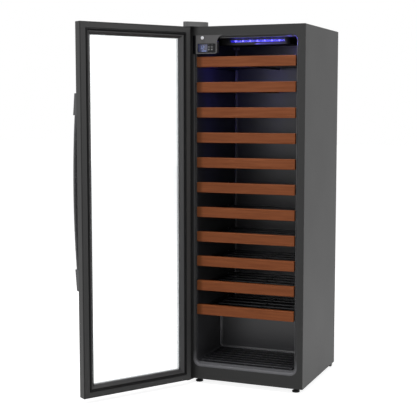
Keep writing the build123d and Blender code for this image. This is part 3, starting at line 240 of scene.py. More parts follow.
# %% [markdown]
# ## Shared effects
# Painted steel, moulded plastic and rubber are never perfectly even. Two effects do most of the work, so each
# is a node group: a fine grain that gives the surface its tooth, and slow clouds that vary colour and gloss.


# %% Group: fine grain
def new_group(name, inputs, outputs):
    """An empty shader group with its sockets, and its two end nodes."""
    group = bpy.data.node_groups.new(name, "ShaderNodeTree")
    for label, kind, value in inputs:
        socket = group.interface.new_socket(label, in_out="INPUT", socket_type=kind)
        socket.default_value = value
    for label, kind in outputs:
        group.interface.new_socket(label, in_out="OUTPUT", socket_type=kind)
    source = group.nodes.new("NodeGroupInput")
    target = group.nodes.new("NodeGroupOutput")
    return group, source, target


FLOAT = "NodeSocketFloat"
COLOR = "NodeSocketColor"
MIX_A, MIX_B, MIX_OUT = 6, 7, 2  # the colour sockets of a Mix node

grain_group, grain_in, grain_out = new_group(
    "Fine Grain", [("Scale", FLOAT, 900.0), ("Detail", FLOAT, 2.0)], [("Height", FLOAT)]
)
grain_place = grain_group.nodes.new("ShaderNodeTexCoord")
grain_noise = grain_group.nodes.new("ShaderNodeTexNoise")
grain_group.links.new(grain_place.outputs["Object"], grain_noise.inputs["Vector"])
grain_group.links.new(grain_in.outputs["Scale"], grain_noise.inputs["Scale"])
grain_group.links.new(grain_in.outputs["Detail"], grain_noise.inputs["Detail"])
grain_group.links.new(grain_noise.outputs["Fac"], grain_out.inputs["Height"])

# %% Group: slow clouds
cloud_group, cloud_in, cloud_out = new_group(
    "Slow Clouds",
    [
        ("Color A", COLOR, (0, 0, 0, 1)),
        ("Color B", COLOR, (1, 1, 1, 1)),
        ("Gloss A", FLOAT, 0.4),
        ("Gloss B", FLOAT, 0.5),
        ("Scale", FLOAT, 6.0),
    ],
    [("Color", COLOR), ("Roughness", FLOAT)],
)
cloud_place = cloud_group.nodes.new("ShaderNodeTexCoord")
cloud_noise = cloud_group.nodes.new("ShaderNodeTexNoise")
cloud_noise.inputs["Detail"].default_value = 5
cloud_noise.inputs["Roughness"].default_value = 0.6
cloud_mix = cloud_group.nodes.new("ShaderNodeMix")
cloud_mix.data_type = "RGBA"
cloud_gloss = cloud_group.nodes.new("ShaderNodeMapRange")
cloud_group.links.new(cloud_place.outputs["Object"], cloud_noise.inputs["Vector"])
cloud_group.links.new(cloud_in.outputs["Scale"], cloud_noise.inputs["Scale"])
cloud_group.links.new(cloud_noise.outputs["Fac"], cloud_mix.inputs["Factor"])
cloud_group.links.new(cloud_in.outputs["Color A"], cloud_mix.inputs[MIX_A])
cloud_group.links.new(cloud_in.outputs["Color B"], cloud_mix.inputs[MIX_B])
cloud_group.links.new(cloud_mix.outputs[MIX_OUT], cloud_out.inputs["Color"])
cloud_group.links.new(cloud_noise.outputs["Fac"], cloud_gloss.inputs["Value"])
cloud_group.links.new(cloud_in.outputs["Gloss A"], cloud_gloss.inputs["To Min"])
cloud_group.links.new(cloud_in.outputs["Gloss B"], cloud_gloss.inputs["To Max"])
cloud_group.links.new(cloud_gloss.outputs["Result"], cloud_out.inputs["Roughness"])
print("shared effects:", [group.name for group in bpy.data.node_groups])


# %% [markdown]
# ## Materials
# A material here is one shader with the two effects wired in. The colours are written as they look on a
# screen, and a helper turns them into the linear values that the shader wants.


# %% A surface with clouds and grain
def screen(red, green, blue):
    """A screen colour, 0 to 255, as a linear one."""
    linear = []
    for value in (red, green, blue):
        share = value / 255
        linear.append(share / 12.92 if share < 0.04045 else ((share + 0.055) / 1.055) ** 2.4)
    return (*linear, 1.0)


def principled(name):
    """A new material, with its node tree and its shader."""
    material = bpy.data.materials.new(name)
    material.use_nodes = True
    return material, material.node_tree, material.node_tree.nodes["Principled BSDF"]


def surface(
    name,
    dark,
    light,
    gloss=(0.4, 0.5),
    clouds=6.0,
    grain=900.0,
    relief=0.08,
    depth=0.0002,
    metallic=0.0,
    specular=0.5,
):
    """Clouds of two near colours and two near levels of gloss, over a fine grain."""
    material, tree, shader = principled(name)
    shader.inputs["Metallic"].default_value = metallic
    shader.inputs["Specular IOR Level"].default_value = specular
    cloud = tree.nodes.new("ShaderNodeGroup")
    cloud.node_tree = cloud_group
    cloud.inputs["Color A"].default_value = dark
    cloud.inputs["Color B"].default_value = light
    cloud.inputs["Gloss A"].default_value = gloss[0]
    cloud.inputs["Gloss B"].default_value = gloss[1]
    cloud.inputs["Scale"].default_value = clouds
    tooth = tree.nodes.new("ShaderNodeGroup")
    tooth.node_tree = grain_group
    tooth.inputs["Scale"].default_value = grain
    bump = tree.nodes.new("ShaderNodeBump")
    bump.inputs["Strength"].default_value = relief
    bump.inputs["Distance"].default_value = depth
    tree.links.new(cloud.outputs["Color"], shader.inputs["Base Color"])
    tree.links.new(cloud.outputs["Roughness"], shader.inputs["Roughness"])
    tree.links.new(tooth.outputs["Height"], bump.inputs["Height"])
    tree.links.new(bump.outputs["Normal"], shader.inputs["Normal"])
    return material


# %% A colour that fades in along one axis
def faded(material, axis, full, none, colour):
    """Mix COLOUR into the material's base, wholly at FULL and not at all at NONE along the axis."""
    tree = material.node_tree
    base = tree.nodes["Principled BSDF"].inputs["Base Color"]
    source = base.links[0].from_socket
    place = tree.nodes.new("ShaderNodeTexCoord")
    split = tree.nodes.new("ShaderNodeSeparateXYZ")
    fade = tree.nodes.new("ShaderNodeMapRange")
    fade.inputs["From Min"].default_value = full
    fade.inputs["From Max"].default_value = none
    blend = tree.nodes.new("ShaderNodeMix")
    blend.data_type = "RGBA"
    blend.inputs[MIX_A].default_value = colour
    tree.links.new(place.outputs["Object"], split.inputs["Vector"])
    tree.links.new(split.outputs[axis], fade.inputs["Value"])
    tree.links.new(fade.outputs["Result"], blend.inputs["Factor"])
    tree.links.new(source, blend.inputs[MIX_B])
    tree.links.new(blend.outputs[MIX_OUT], base)


# %% [markdown]
# ### Paints, plastics, rubber and bare metal
# The shell is satin black paint with a very fine texture. The surround of the opening has the same paint,
# painted darker as painted shade, since the front faces the light less than the side. The tub and the
# housings are moulded plastic, with a softer sheen. The lip round the opening has a painted highlight: its
# colour is painted paler along its foot, where it catches more light.

# %% Paints and plastics
shell_paint = surface(
    "Cabinet Paint", screen(56, 56, 56), screen(60, 60, 60), (0.42, 0.5), 3, 700, specular=0.2
)
# painted shade: the cabinet's paint, darker on the front surround, which faces the light less than the side
shaded_frame_paint = surface(
    "Surround Paint Shaded", screen(39, 39, 39), screen(43, 43, 43), (0.42, 0.5), 3, 700, specular=0.2
)
door_paint = surface(
    "Door Paint", screen(45, 45, 45), screen(50, 50, 50), (0.4, 0.48), 3, 700, specular=0.25
)
lip_plastic = surface(
    "Lip Plastic", screen(50, 50, 51), screen(55, 55, 56), (0.4, 0.46), 4, 500, specular=0.12
)
# painted highlight: the lip's colour is painted paler along its foot, up to these heights
LIP_HIGHLIGHT_FULL, LIP_HIGHLIGHT_NONE = 0.102, 0.17  # metres above the floor
faded(lip_plastic, "Z", LIP_HIGHLIGHT_FULL, LIP_HIGHLIGHT_NONE, screen(98, 98, 101))
liner_plastic = surface(
    "Liner Plastic", screen(46, 46, 49), screen(51, 51, 54), (0.3, 0.4), 4, 500, specular=0.5
)
trim_plastic = surface(
    "Trim Plastic", screen(46, 46, 47), screen(51, 51, 52), (0.34, 0.42), 5, 800, specular=0.35
)
housing_plastic = surface(
    "Housing Plastic", screen(68, 67, 68), screen(74, 73, 74), (0.4, 0.5), 8, 1200, specular=0.3
)
light_plastic = surface(
    "Light Housing Plastic", screen(24, 24, 26), screen(28, 28, 30), (0.4, 0.5), 8, specular=0.3
)
cover_plastic = surface(
    "Hinge Cover Plastic", screen(88, 88, 88), screen(95, 95, 95), (0.4, 0.5), 8, specular=0.3
)
handle_finish = surface(
    "Handle Finish", screen(64, 64, 66), screen(80, 80, 82), (0.36, 0.5), 90, 400, specular=0.25
)
gasket_rubber = surface(
    "Gasket Rubber", screen(12, 12, 13), screen(16, 16, 17), (0.5, 0.6), 10, 1500, specular=0.12
)
# painted highlight: a pale grey for the corner beads, for the light that the tub's rounded corners catch
corner_highlight_grey = surface(
    "Corner Highlight Grey", screen(122, 122, 126), screen(134, 134, 138), (0.3, 0.4), 10, 1500, specular=0.4
)
foot_rubber = surface(
    "Foot Plastic", screen(16, 16, 16), screen(22, 22, 22), (0.5, 0.6), 20, 1500, specular=0.3
)
deck_paint = surface(
    "Deck Paint", screen(36, 36, 39), screen(42, 42, 45), (0.35, 0.45), 10, 900, specular=0.3
)
rail_paint = surface("Rail Paint", screen(26, 26, 28), screen(31, 31, 33), (0.35, 0.45), 10, 900)
white_plastic = surface("White Plastic", screen(188, 188, 192), screen(198, 198, 202), (0.3, 0.36), 30)
key_plastic = surface("Key Plastic", screen(30, 31, 36), screen(36, 37, 42), (0.3, 0.36), 60, 1500)
black_plastic = surface("Fan Plastic", screen(20, 20, 21), screen(26, 26, 27), (0.45, 0.55), 20)
window_plastic = surface(
    "Window Plastic", screen(9, 9, 12), screen(12, 12, 15), (0.12, 0.18), 20, 1500, 0.02, specular=0.08
)
compressor_paint = surface("Compressor Enamel", screen(16, 16, 17), screen(24, 24, 25), (0.25, 0.35), 12)
foam = surface("Rigid Foam", screen(206, 182, 116), screen(228, 205, 140), (0.8, 0.9), 30, 300, 0.5, 0.001)

# %% Bare metals
zinc = surface(
    "Zinc Coated Steel", screen(128, 130, 132), screen(168, 170, 172), (0.34, 0.5), 60, 900, metallic=0.9
)
aluminium = surface(
    "Bare Aluminium", screen(176, 178, 180), screen(200, 202, 204), (0.3, 0.42), 40, 900, metallic=1.0
)
bright_steel = surface(
    "Bright Steel", screen(150, 152, 155), screen(176, 178, 180), (0.25, 0.35), 80, 1500, metallic=1.0
)

# %% [markdown]
# ### Wood
# The shelf fronts are reddish-brown boards with the grain along their length. Noise that is stretched along
# the board gives the long fibres, and a finer copy of it gives the pores. The pattern is read in the
# object's own space, so every board shows another part of the tree. The last 20 mm of a board at its left end
# has a painted shadow, the shade of the open door, so the colour deepens there over a short fade.

# %% Group: wood grain
wood_group, wood_in, wood_out = new_group(
    "Wood Grain",
    [("Early Wood", COLOR, (1, 1, 1, 1)), ("Late Wood", COLOR, (0, 0, 0, 1))],
    [("Color", COLOR), ("Roughness", FLOAT), ("Height", FLOAT)],
)
wood_place = wood_group.nodes.new("ShaderNodeTexCoord")
fibre_map = wood_group.nodes.new("ShaderNodeMapping")
fibre_map.inputs["Scale"].default_value = (1.4, 30, 30)
fibre = wood_group.nodes.new("ShaderNodeTexNoise")
fibre.inputs["Scale"].default_value = 4
fibre.inputs["Detail"].default_value = 6
fibre.inputs["Distortion"].default_value = 0.6
pore_map = wood_group.nodes.new("ShaderNodeMapping")
pore_map.inputs["Scale"].default_value = (12, 500, 500)
pore = wood_group.nodes.new("ShaderNodeTexNoise")
pore.inputs["Scale"].default_value = 3
pore.inputs["Detail"].default_value = 3
wood_add = wood_group.nodes.new("ShaderNodeMath")
wood_add.operation = "MULTIPLY_ADD"
wood_add.inputs[1].default_value = 0.3
wood_mix = wood_group.nodes.new("ShaderNodeMix")
wood_mix.data_type = "RGBA"
wood_gloss = wood_group.nodes.new("ShaderNodeMapRange")
wood_gloss.inputs["To Min"].default_value = 0.42
wood_gloss.inputs["To Max"].default_value = 0.6
spread = wood_group.nodes.new("ShaderNodeMapRange")
spread.inputs["From Min"].default_value = 0.45
spread.inputs["From Max"].default_value = 0.85
for source, target in (
    (wood_place.outputs["Object"], fibre_map.inputs["Vector"]),
    (fibre_map.outputs["Vector"], fibre.inputs["Vector"]),
    (wood_place.outputs["Object"], pore_map.inputs["Vector"]),
    (pore_map.outputs["Vector"], pore.inputs["Vector"]),
    (pore.outputs["Fac"], wood_add.inputs[0]),
    (fibre.outputs["Fac"], wood_add.inputs[2]),
    (wood_add.outputs["Value"], spread.inputs["Value"]),
    (spread.outputs["Result"], wood_mix.inputs["Factor"]),
    (wood_in.outputs["Early Wood"], wood_mix.inputs[MIX_A]),
    (wood_in.outputs["Late Wood"], wood_mix.inputs[MIX_B]),
    (wood_mix.outputs[MIX_OUT], wood_out.inputs["Color"]),
    (spread.outputs["Result"], wood_gloss.inputs["Value"]),
    (wood_gloss.outputs["Result"], wood_out.inputs["Roughness"]),
    (pore.outputs["Fac"], wood_out.inputs["Height"]),
):
    wood_group.links.new(source, target)

# %% Shelf wood
# painted shadow: the open door's shade, painted darker into the left end of every board
END_DOOR_SHADOW = screen(87, 43, 8)
DOOR_SHADOW_FULL, DOOR_SHADOW_NONE = -0.232, -0.216  # metres along the board, from the cabinet's middle
shelf_wood, wood_tree, wood_shader = principled("Shelf Wood")
wood_shader.inputs["Specular IOR Level"].default_value = 0.15
wood_node = wood_tree.nodes.new("ShaderNodeGroup")
wood_node.node_tree = wood_group
wood_node.inputs["Early Wood"].default_value = screen(128, 70, 36)
wood_node.inputs["Late Wood"].default_value = screen(107, 56, 27)
wood_bump = wood_tree.nodes.new("ShaderNodeBump")
wood_bump.inputs["Strength"].default_value = 0.12
wood_bump.inputs["Distance"].default_value = 0.0003
wood_tree.links.new(wood_node.outputs["Color"], wood_shader.inputs["Base Color"])
wood_tree.links.new(wood_node.outputs["Roughness"], wood_shader.inputs["Roughness"])
wood_tree.links.new(wood_node.outputs["Height"], wood_bump.inputs["Height"])
wood_tree.links.new(wood_bump.outputs["Normal"], wood_shader.inputs["Normal"])
# painted shadow of the open door on the boards' left ends
faded(shelf_wood, "X", DOOR_SHADOW_FULL, DOOR_SHADOW_NONE, END_DOOR_SHADOW)

# %% [markdown]
# ### Glass, lenses and lights
# The panes are clear float glass. The light strip is a clear cover over bright diodes, and the display is a
# tinted window that glows. Glow is written as emission on the material's own sockets.


# %% Clear and glowing materials
def clear(name, colour, roughness):
    """Glass or clear plastic in one colour, with faint smears in its gloss."""
    material, tree, shader = principled(name)
    shader.inputs["Transmission Weight"].default_value = 1.0
    shader.inputs["IOR"].default_value = 1.45
    smear = tree.nodes.new("ShaderNodeGroup")
    smear.node_tree = cloud_group
    smear.inputs["Color A"].default_value = colour
    smear.inputs["Color B"].default_value = colour
    smear.inputs["Gloss A"].default_value = roughness[0]
    smear.inputs["Gloss B"].default_value = roughness[1]
    tree.links.new(smear.outputs["Color"], shader.inputs["Base Color"])
    tree.links.new(smear.outputs["Roughness"], shader.inputs["Roughness"])
    return material


def glowing(name, dark, light, strength):
    """A surface that also shines in its own colours."""
    material = surface(name, dark, light, (0.2, 0.3), 60.0)
    shader = material.node_tree.nodes["Principled BSDF"]
    cloud = next(n for n in material.node_tree.nodes if n.type == "GROUP" and n.node_tree == cloud_group)
    material.node_tree.links.new(cloud.outputs["Color"], shader.inputs["Emission Color"])
    shader.inputs["Emission Strength"].default_value = strength
    return material


pane_glass = clear("Pane Glass", screen(254, 255, 255), (0.0, 0.01))
strip_lens = clear("Light Strip Lens", screen(150, 145, 255), (0.15, 0.25))
led_glow = glowing("Diode Glow", screen(150, 140, 255), screen(200, 190, 255), 3.0)
core_glow = glowing("Strip Glow", screen(44, 36, 180), screen(60, 52, 205), 0.5)
display_glow = glowing("Display Glow", screen(14, 20, 52), screen(20, 30, 74), 0.16)
digit_glow = glowing("Digit Glow", screen(80, 104, 176), screen(110, 134, 200), 0.16)
mark_paint = surface("Key Marks", screen(150, 152, 150), screen(170, 172, 170), (0.5, 0.6), 60)
faint_paint = surface("Faint Marks", screen(84, 84, 86), screen(94, 94, 96), (0.5, 0.6), 60)
indicator_plastic = surface("Indicator Lens", screen(74, 74, 52), screen(92, 92, 66), (0.15, 0.2), 80)

# %% [markdown]
# Each loaded piece now gets its finish. The pieces keep their shape, so only the material slot is filled.

# %% Give every loaded piece its finish
finishes = {
    "outer_shell": shell_paint,
    "front_frame": shaded_frame_paint,
    "inner_liner": liner_plastic,
    "liner_lip": lip_plastic,
    "insulation_foam": foam,
    "back_panel": zinc,
    "base_tray": zinc,
    "compressor": compressor_paint,
    "condenser": aluminium,
    "fan_shroud": black_plastic,
    "evaporator": aluminium,
    "light_housing": light_plastic,
    "light_lens": strip_lens,
    "control_housing": housing_plastic,
    "shelf_rails": rail_paint,
    "rail_screws": bright_steel,
    "floor_rack": deck_paint,
    "top_hinge_bracket": door_paint,
    "top_hinge_cover": cover_plastic,
    "bottom_hinge_bracket": door_paint,
    "power_inlet": black_plastic,
    "door_frame": door_paint,
    "door_inner_trim": trim_plastic,
    "door_gasket": gasket_rubber,
    "glass_panes": pane_glass,
    "door_handle": handle_finish,
    "door_switch": white_plastic,
    "circulation_fan": black_plastic,
    "condenser_fan": black_plastic,
    "display_lens": display_glow,
}
for name, node in nodes.items():
    if name.startswith("shelf_") and name.endswith("_front"):
        finish = shelf_wood
    elif name.startswith("shelf_") and name.endswith("_deck"):
        finish = deck_paint
    elif name.startswith("control_key"):
        finish = key_plastic
    elif "foot" in name or "roller" in name:
        finish = foot_rubber
    else:
        finish = finishes[name]
    node.data.materials.clear()
    node.data.materials.append(finish)
print("finished", len(nodes), "loaded pieces")

# %% [markdown]
# ## Softer edges on slats and housings
# Folded wire, moulded plastic and sprayed metal never end in a knife edge. The loaded pieces do, so the ones
# whose edges catch the light are copied, merged and bevelled. The copy stands for the loaded piece.

# %% Softer decks, rack and control housing
for name in list(nodes):
    if name.startswith("shelf_") and name.endswith("_deck"):
        shelf = name.removesuffix("_deck")
        add_piece(softened(name, 0.8 * MM), shelf + "_slats", shelf, deck_paint, (name,))
rack = softened("floor_rack", 1.2 * MM)
add_piece(rack, "floor_rack_slats", "cabinet", deck_paint, ("floor_rack",))
add_piece(
    softened("control_housing", 0.7 * MM),
    "control_face",
    "cabinet",
    housing_plastic,
    ("control_housing",),
    smooth_deg=12,
)

# %% [markdown]
# ## The door seal
# The seal is a magnetic rubber strip, welded into one rectangle. Its section has a flat flange, a folded
# bellows and a round bulb that meets the cabinet. One upright rectangle is inset again and again, each time
# with another depth, so that the rings trace that section with clean mitred corners.

# %% Gasket: rings inset from one rectangle
GASKET_INSET = 24 * MM  # the loaded gasket's outline, in from the door's edge
SEAL_INSET = 30 * MM  # the bulb's outline
FIT_GAP = 0.3 * MM
SEAL_SECTION = (
    (0.2, 4.8),
    (0.7, 1.8),
    (1.2, 1.6),
    (1.6, 0.6),
    (1.6, -0.6),
    (1.2, -1.6),
    (0.7, -1.8),
    (0.3, -3.6),
    (2.6, -0.4),
    (0.4, -0.6),
)
door_mid_x = (shell_low.x + shell_high.x) / 2
seal = bmesh.new()
seal_drop = SEAL_INSET - GASKET_INSET
seal_size = (
    shell_high.x - shell_low.x - 2 * SEAL_INSET,
    seal_high.z - seal_low.z - 2 * seal_drop,
)
seal_centre = (door_mid_x, door_in + FIT_GAP, (seal_low.z + seal_high.z) / 2)
traced_ring(seal, seal_size, seal_centre, SEAL_SECTION)
swing_open(seal)
add_piece(seal, "door_seal", "door", gasket_rubber, ("door_gasket",), smooth_deg=50)
print("seal section steps:", len(SEAL_SECTION))

# %% [markdown]
# ## The rim of the door's inner face
# The frame's inner face isn't flat: a shallow rim slopes up from the door's edge towards the seal, so its
# four sides catch the light differently. It is traced like the seal. A fine dark ring between it and the edge
# is painted shade: it stands for the shadow in the gap there.

# %% Rim, and a ring of painted shade beside it
# painted shade: a dark ring between the door's edge and the rim, for the shadow in that gap
SHADOW_LINE_INSET = 2.8 * MM
SHADOW_LINE_W = 1.6 * MM
RIM_INSET = SHADOW_LINE_INSET + SHADOW_LINE_W
RIM_SECTION = (
    (0.3, 0.5),
    (8.0, 1.7),
    (8.0, 1.6),
    (7.0, 0.9),
    (1.2, -0.8),
    (0.4, -3.6),
)
rim = bmesh.new()
rim_size = (shell_high.x - shell_low.x - 2 * RIM_INSET, door_high.z - door_low.z - 2 * RIM_INSET)
rim_centre = (door_mid_x, door_in + FIT_GAP, (door_low.z + door_high.z) / 2)
traced_ring(rim, rim_size, rim_centre, RIM_SECTION)
swing_open(rim)
add_piece(rim, "door_face_rim", "door", door_paint, smooth_deg=20)
# painted shade: a fine ring in dark rubber, standing for the shadow in the gap beside the rim
shadow_line_ring = bmesh.new()
upright_ring(
    shadow_line_ring,
    (shell_low.x + SHADOW_LINE_INSET, door_low.z + SHADOW_LINE_INSET),
    (shell_high.x - SHADOW_LINE_INSET, door_high.z - SHADOW_LINE_INSET),
    SHADOW_LINE_W,
    door_in - 0.1 * MM,
    door_in + 0.4 * MM,
)
swing_open(shadow_line_ring)
add_piece(shadow_line_ring, "door_rim_shadow_line", "door", gasket_rubber)
print("rim rises in mm:", round(sum(rise for _, rise in RIM_SECTION[:4]), 1))

# %% [markdown]
# ## The spacer in the double glazing
# Between the two panes a hollow aluminium bar runs round the edge and keeps them apart. It is seen as a thin
# bright line beside the trim, so it gets its own upright ring.

# %% Glazing spacer
SIGHT_X = 58 * MM
SIGHT_Z = 57 * MM
SPACER_W = 1.2 * MM
SPACER_GAP = 0.2 * MM
spacer_near = door_out + 5.2 * MM
spacer_far = door_in - 22.2 * MM
spacer = bmesh.new()
upright_ring(
    spacer,
    (shell_low.x + SIGHT_X + SPACER_GAP, door_low.z + SIGHT_Z + SPACER_GAP),
    (shell_high.x - SIGHT_X - SPACER_GAP, door_high.z - SIGHT_Z - SPACER_GAP),
    SPACER_W,
    spacer_near,
    spacer_far,
)
swing_open(spacer)
add_piece(spacer, "glazing_spacer", "door", aluminium)
print("spacer depth in mm:", round((spacer_far - spacer_near) / MM, 1))

# %% [markdown]
# ## Beads in the tub's corners
# Pale grey beads lie in the corner behind the shelves and at the foot of the step. Their pale grey is a
# painted highlight, standing for the light that the tub's rounded corners catch. Each is a slim rounded block
# in the corner between two walls, and a small pale plate at the top of the tall one stands, as painted
# highlight, for the bright spot where the corner meets the ceiling.

# %% Corner beads
WALL_X, BACK_Y = 252.5, 498  # the tub's walls, floor and step, in mm
STEP_Y, STEP_TOP, TUB_FLOOR, TUB_CEILING = 286, 329, 110, 1696
HIGHLIGHT_PLATE_LOW, HIGHLIGHT_PLATE_HIGH = 1669, 1685
# painted highlight: pale beads along the rounded corners, standing for the light they catch
BEADS = (
    ((-WALL_X + 1.2, BACK_Y - 8.5, STEP_TOP + 16), (-WALL_X + 9, BACK_Y - 1.2, TUB_CEILING - 24), 2.4),
    ((-WALL_X + 1.2, STEP_Y - 8, TUB_FLOOR + 12), (-WALL_X + 8, STEP_Y - 1, STEP_TOP - 10), 2.4),
    ((-WALL_X + 14, STEP_Y - 9, TUB_FLOOR + 0.8), (WALL_X - 14, STEP_Y - 0.8, TUB_FLOOR + 8), 2.6),
)
# painted highlight: pale plates at the tall bead's top, for the bright spot where the corner meets the
# ceiling
HIGHLIGHT_PLATES = (
    ((-WALL_X + 0.6, BACK_Y - 42, HIGHLIGHT_PLATE_LOW), (-WALL_X + 3.4, BACK_Y - 2, HIGHLIGHT_PLATE_HIGH), 1),
    ((-WALL_X + 2, BACK_Y - 3.4, HIGHLIGHT_PLATE_LOW), (-WALL_X + 25, BACK_Y - 0.6, HIGHLIGHT_PLATE_HIGH), 1),
)
for name, blocks in (("corner_highlight_beads", BEADS), ("corner_highlight_plate", HIGHLIGHT_PLATES)):
    bm = bmesh.new()
    for low, high, radius in blocks:
        rounded_block(bm, Vector(low) * MM, Vector(high) * MM, radius * MM)
    add_piece(bm, name, "cabinet", corner_highlight_grey)
print("beads:", len(BEADS), "clip plates:", len(HIGHLIGHT_PLATES))

# %% [markdown]
# ## The light strip
# Seven diodes sit in a row on a narrow board behind the strip's clear cover. A blue diffuser behind them
# spreads their light, so the strip reads as a glowing bar with seven bright spots.

# %% Diodes, board and diffuser
LED_COUNT = 7
LED_PITCH = 37 * MM
LED_SIZE = 7 * MM
BOARD_HALF = 5 * MM
BOARD_END = 6 * MM  # the board stops short of the lens's ends
lens_low, lens_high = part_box("light_lens")
strip_x = (lens_low.x + lens_high.x) / 2
strip_z = (lens_low.z + lens_high.z) / 2
board_front = lens_high.y + 1.5 * MM
diodes = bmesh.new()
for n in range(LED_COUNT):
    x = strip_x + (n - (LED_COUNT - 1) / 2) * LED_PITCH
    rounded_block(
        diodes,
        (x - LED_SIZE / 2, board_front - 1 * MM, strip_z - LED_SIZE / 2),
        (x + LED_SIZE / 2, board_front, strip_z + LED_SIZE / 2),
        0.3 * MM,
    )
add_piece(diodes, "light_diodes", "cabinet", led_glow)
board = bmesh.new()
rounded_block(
    board,
    (lens_low.x + BOARD_END, board_front + 0.1 * MM, strip_z - BOARD_HALF),
    (lens_high.x - BOARD_END, board_front + 1.6 * MM, strip_z + BOARD_HALF),
    0.2 * MM,
)
add_piece(board, "light_board", "cabinet", core_glow)
print("diodes:", LED_COUNT)

# %% [markdown]
# ## The control panel
# Behind a black window lie a small blue display and, beside it, little keys with a printed mark each. The
# window sheet is a flat rectangle that is cut along the edges of the display and the keys. The cells inside
# those outlines are removed, and the rest is given its thickness.

# %% Window sheet with its openings
WINDOW_EDGE_X = 7.3 * MM
WINDOW_LOW = 5.3 * MM
WINDOW_HIGH = 48.7 * MM
FLARE = 36 * MM  # the housing's sloping right end
DISPLAY_H = 36 * MM
SHEET_T = 0.25 * MM
KEY_MARGIN = Vector((1.5, 0, 1.5)) * MM
KEY_AIR = Vector((0.3, 0, 0.3)) * MM
DISPLAY_AIR = Vector((0.1, 0, 0.1)) * MM
KEY_NAMES = ("control_key_1", "control_key_2", "control_key_3", "control_key_4")
glass_low, glass_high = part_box("display_lens")
glass_high = Vector((glass_high.x, glass_high.y, glass_low.z + DISPLAY_H))
floor_y = glass_high.y
window_low = Vector((panel_low.x + WINDOW_EDGE_X, 0, panel_low.z + WINDOW_LOW))
window_high = Vector((panel_high.x - FLARE - WINDOW_EDGE_X, 0, panel_low.z + WINDOW_HIGH))
key_boxes = {}
for key_name in KEY_NAMES:
    low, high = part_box(key_name)
    key_boxes[key_name] = (low + KEY_MARGIN, high - KEY_MARGIN)
holes = [(low - KEY_AIR, high + KEY_AIR) for low, high in key_boxes.values()]
holes.append((glass_low - DISPLAY_AIR, glass_high + DISPLAY_AIR))
sheet = bmesh.new()
sheet_size = (window_high.x - window_low.x, window_high.z - window_low.z)
sheet_centre = (window_low + window_high) / 2
upright_sheet(sheet, sheet_size, (sheet_centre.x, floor_y, sheet_centre.z), 90)
for low, high in holes:
    for place, normal in ((low, (1, 0, 0)), (high, (1, 0, 0)), (low, (0, 0, 1)), (high, (0, 0, 1))):
        bmesh.ops.bisect_plane(
            sheet, geom=sheet.verts[:] + sheet.edges[:] + sheet.faces[:], plane_co=place, plane_no=normal
        )
inside = [
    face
    for face in sheet.faces
    if any(
        low.x < face.calc_center_median().x < high.x and low.z < face.calc_center_median().z < high.z
        for low, high in holes
    )
]
bmesh.ops.delete(sheet, geom=inside, context="FACES")
thickened(sheet, sheet.faces[:], (0, -SHEET_T, 0))
add_piece(sheet, "panel_window", "cabinet", window_plastic)
print("openings in the window:", len(holes))

# %% Display and sensor lens, in place of the plain ones
DISPLAY_T = 0.8 * MM
display = bmesh.new()
rounded_block(
    display,
    (glass_low.x, floor_y - DISPLAY_T, glass_low.z),
    (glass_high.x, floor_y, glass_high.z),
    0.35 * MM,
)
add_piece(display, "display_glass", "cabinet", display_glow, ("display_lens",))
SENSOR_R = 6.5 * MM
SENSOR_T = 0.8 * MM
SENSOR_X = 41 * MM  # from the panel's left end
sensor_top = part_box("display_lens")[1].z
sensor_x = panel_low.x + SENSOR_X
sensor = bmesh.new()
for sink, radius in ((1.6 * MM, SENSOR_R), (1.0 * MM, SENSOR_R * 0.72)):
    disc(sensor, (sensor_x, panel_low.y + sink, sensor_top - SENSOR_R), radius, SENSOR_T)
bevel_edges(sensor, [edge for edge in sensor.edges if edge.calc_face_angle(0) > 1], 0.2 * MM)
add_piece(sensor, "sensor_lens", "cabinet", indicator_plastic, ("display_lens",))
print("sensor at x in mm:", round(sensor_x / MM, 1))

# %% A thin near-black strip on the lip at the panel's hinge end
CAP_T = 0.35 * MM  # thin enough for the seal to pass over it
lip_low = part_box("liner_lip")[0]
# a near-black strip over the lip beside the panel's hinge end, where the lip shows black
cap = bmesh.new()
rounded_block(
    cap,
    (lip_low.x + 0.4 * MM, lip_low.y - CAP_T, panel_low.z),
    (panel_low.x - 0.3 * MM, lip_low.y + 1 * MM, panel_high.z),
    0.1 * MM,
)
add_piece(cap, "panel_end_black_strip", "cabinet", window_plastic)
print("cap width in mm:", round((panel_low.x - lip_low.x) / MM, 1))

# %% [markdown]
# ### Digits and marks
# The display shows a temperature in seven-segment digits. A digit is a set of short bars, named from the top
# clockwise, so one table says which bars are lit. Bar f, at the upper left, isn't needed here. The keys carry
# an arrow down, an arrow up, a ring and a bar.

# %% Seven-segment digits
DIGIT_H = 17 * MM
DIGIT_W = 9 * MM
BAR = 1.7 * MM
LIT_T = 0.15 * MM
MARK_EDGE = 0.06 * MM
lit_y = floor_y - DISPLAY_T
SEGMENTS = {"1": "bc", "2": "abged"}


def digit_bars(bm, digit, left, low):
    """The lit bars of one digit, each a thin rounded block."""
    half = DIGIT_H / 2
    bars = {
        "a": ((BAR, DIGIT_H - BAR), (DIGIT_W - BAR, DIGIT_H)),
        "b": ((DIGIT_W - BAR, half), (DIGIT_W, DIGIT_H - BAR / 2)),
        "c": ((DIGIT_W - BAR, BAR / 2), (DIGIT_W, half - BAR / 4)),
        "d": ((BAR, 0), (DIGIT_W - BAR, BAR)),
        "e": ((0, BAR / 2), (BAR, half - BAR / 4)),
        "g": ((BAR, half - BAR / 2), (DIGIT_W - BAR, half + BAR / 2)),
    }
    for name in SEGMENTS[digit]:
        (x0, z0), (x1, z1) = bars[name]
        rounded_block(
            bm, (left + x0, lit_y - LIT_T, low + z0), (left + x1, lit_y, low + z1), MARK_EDGE, 1
        )


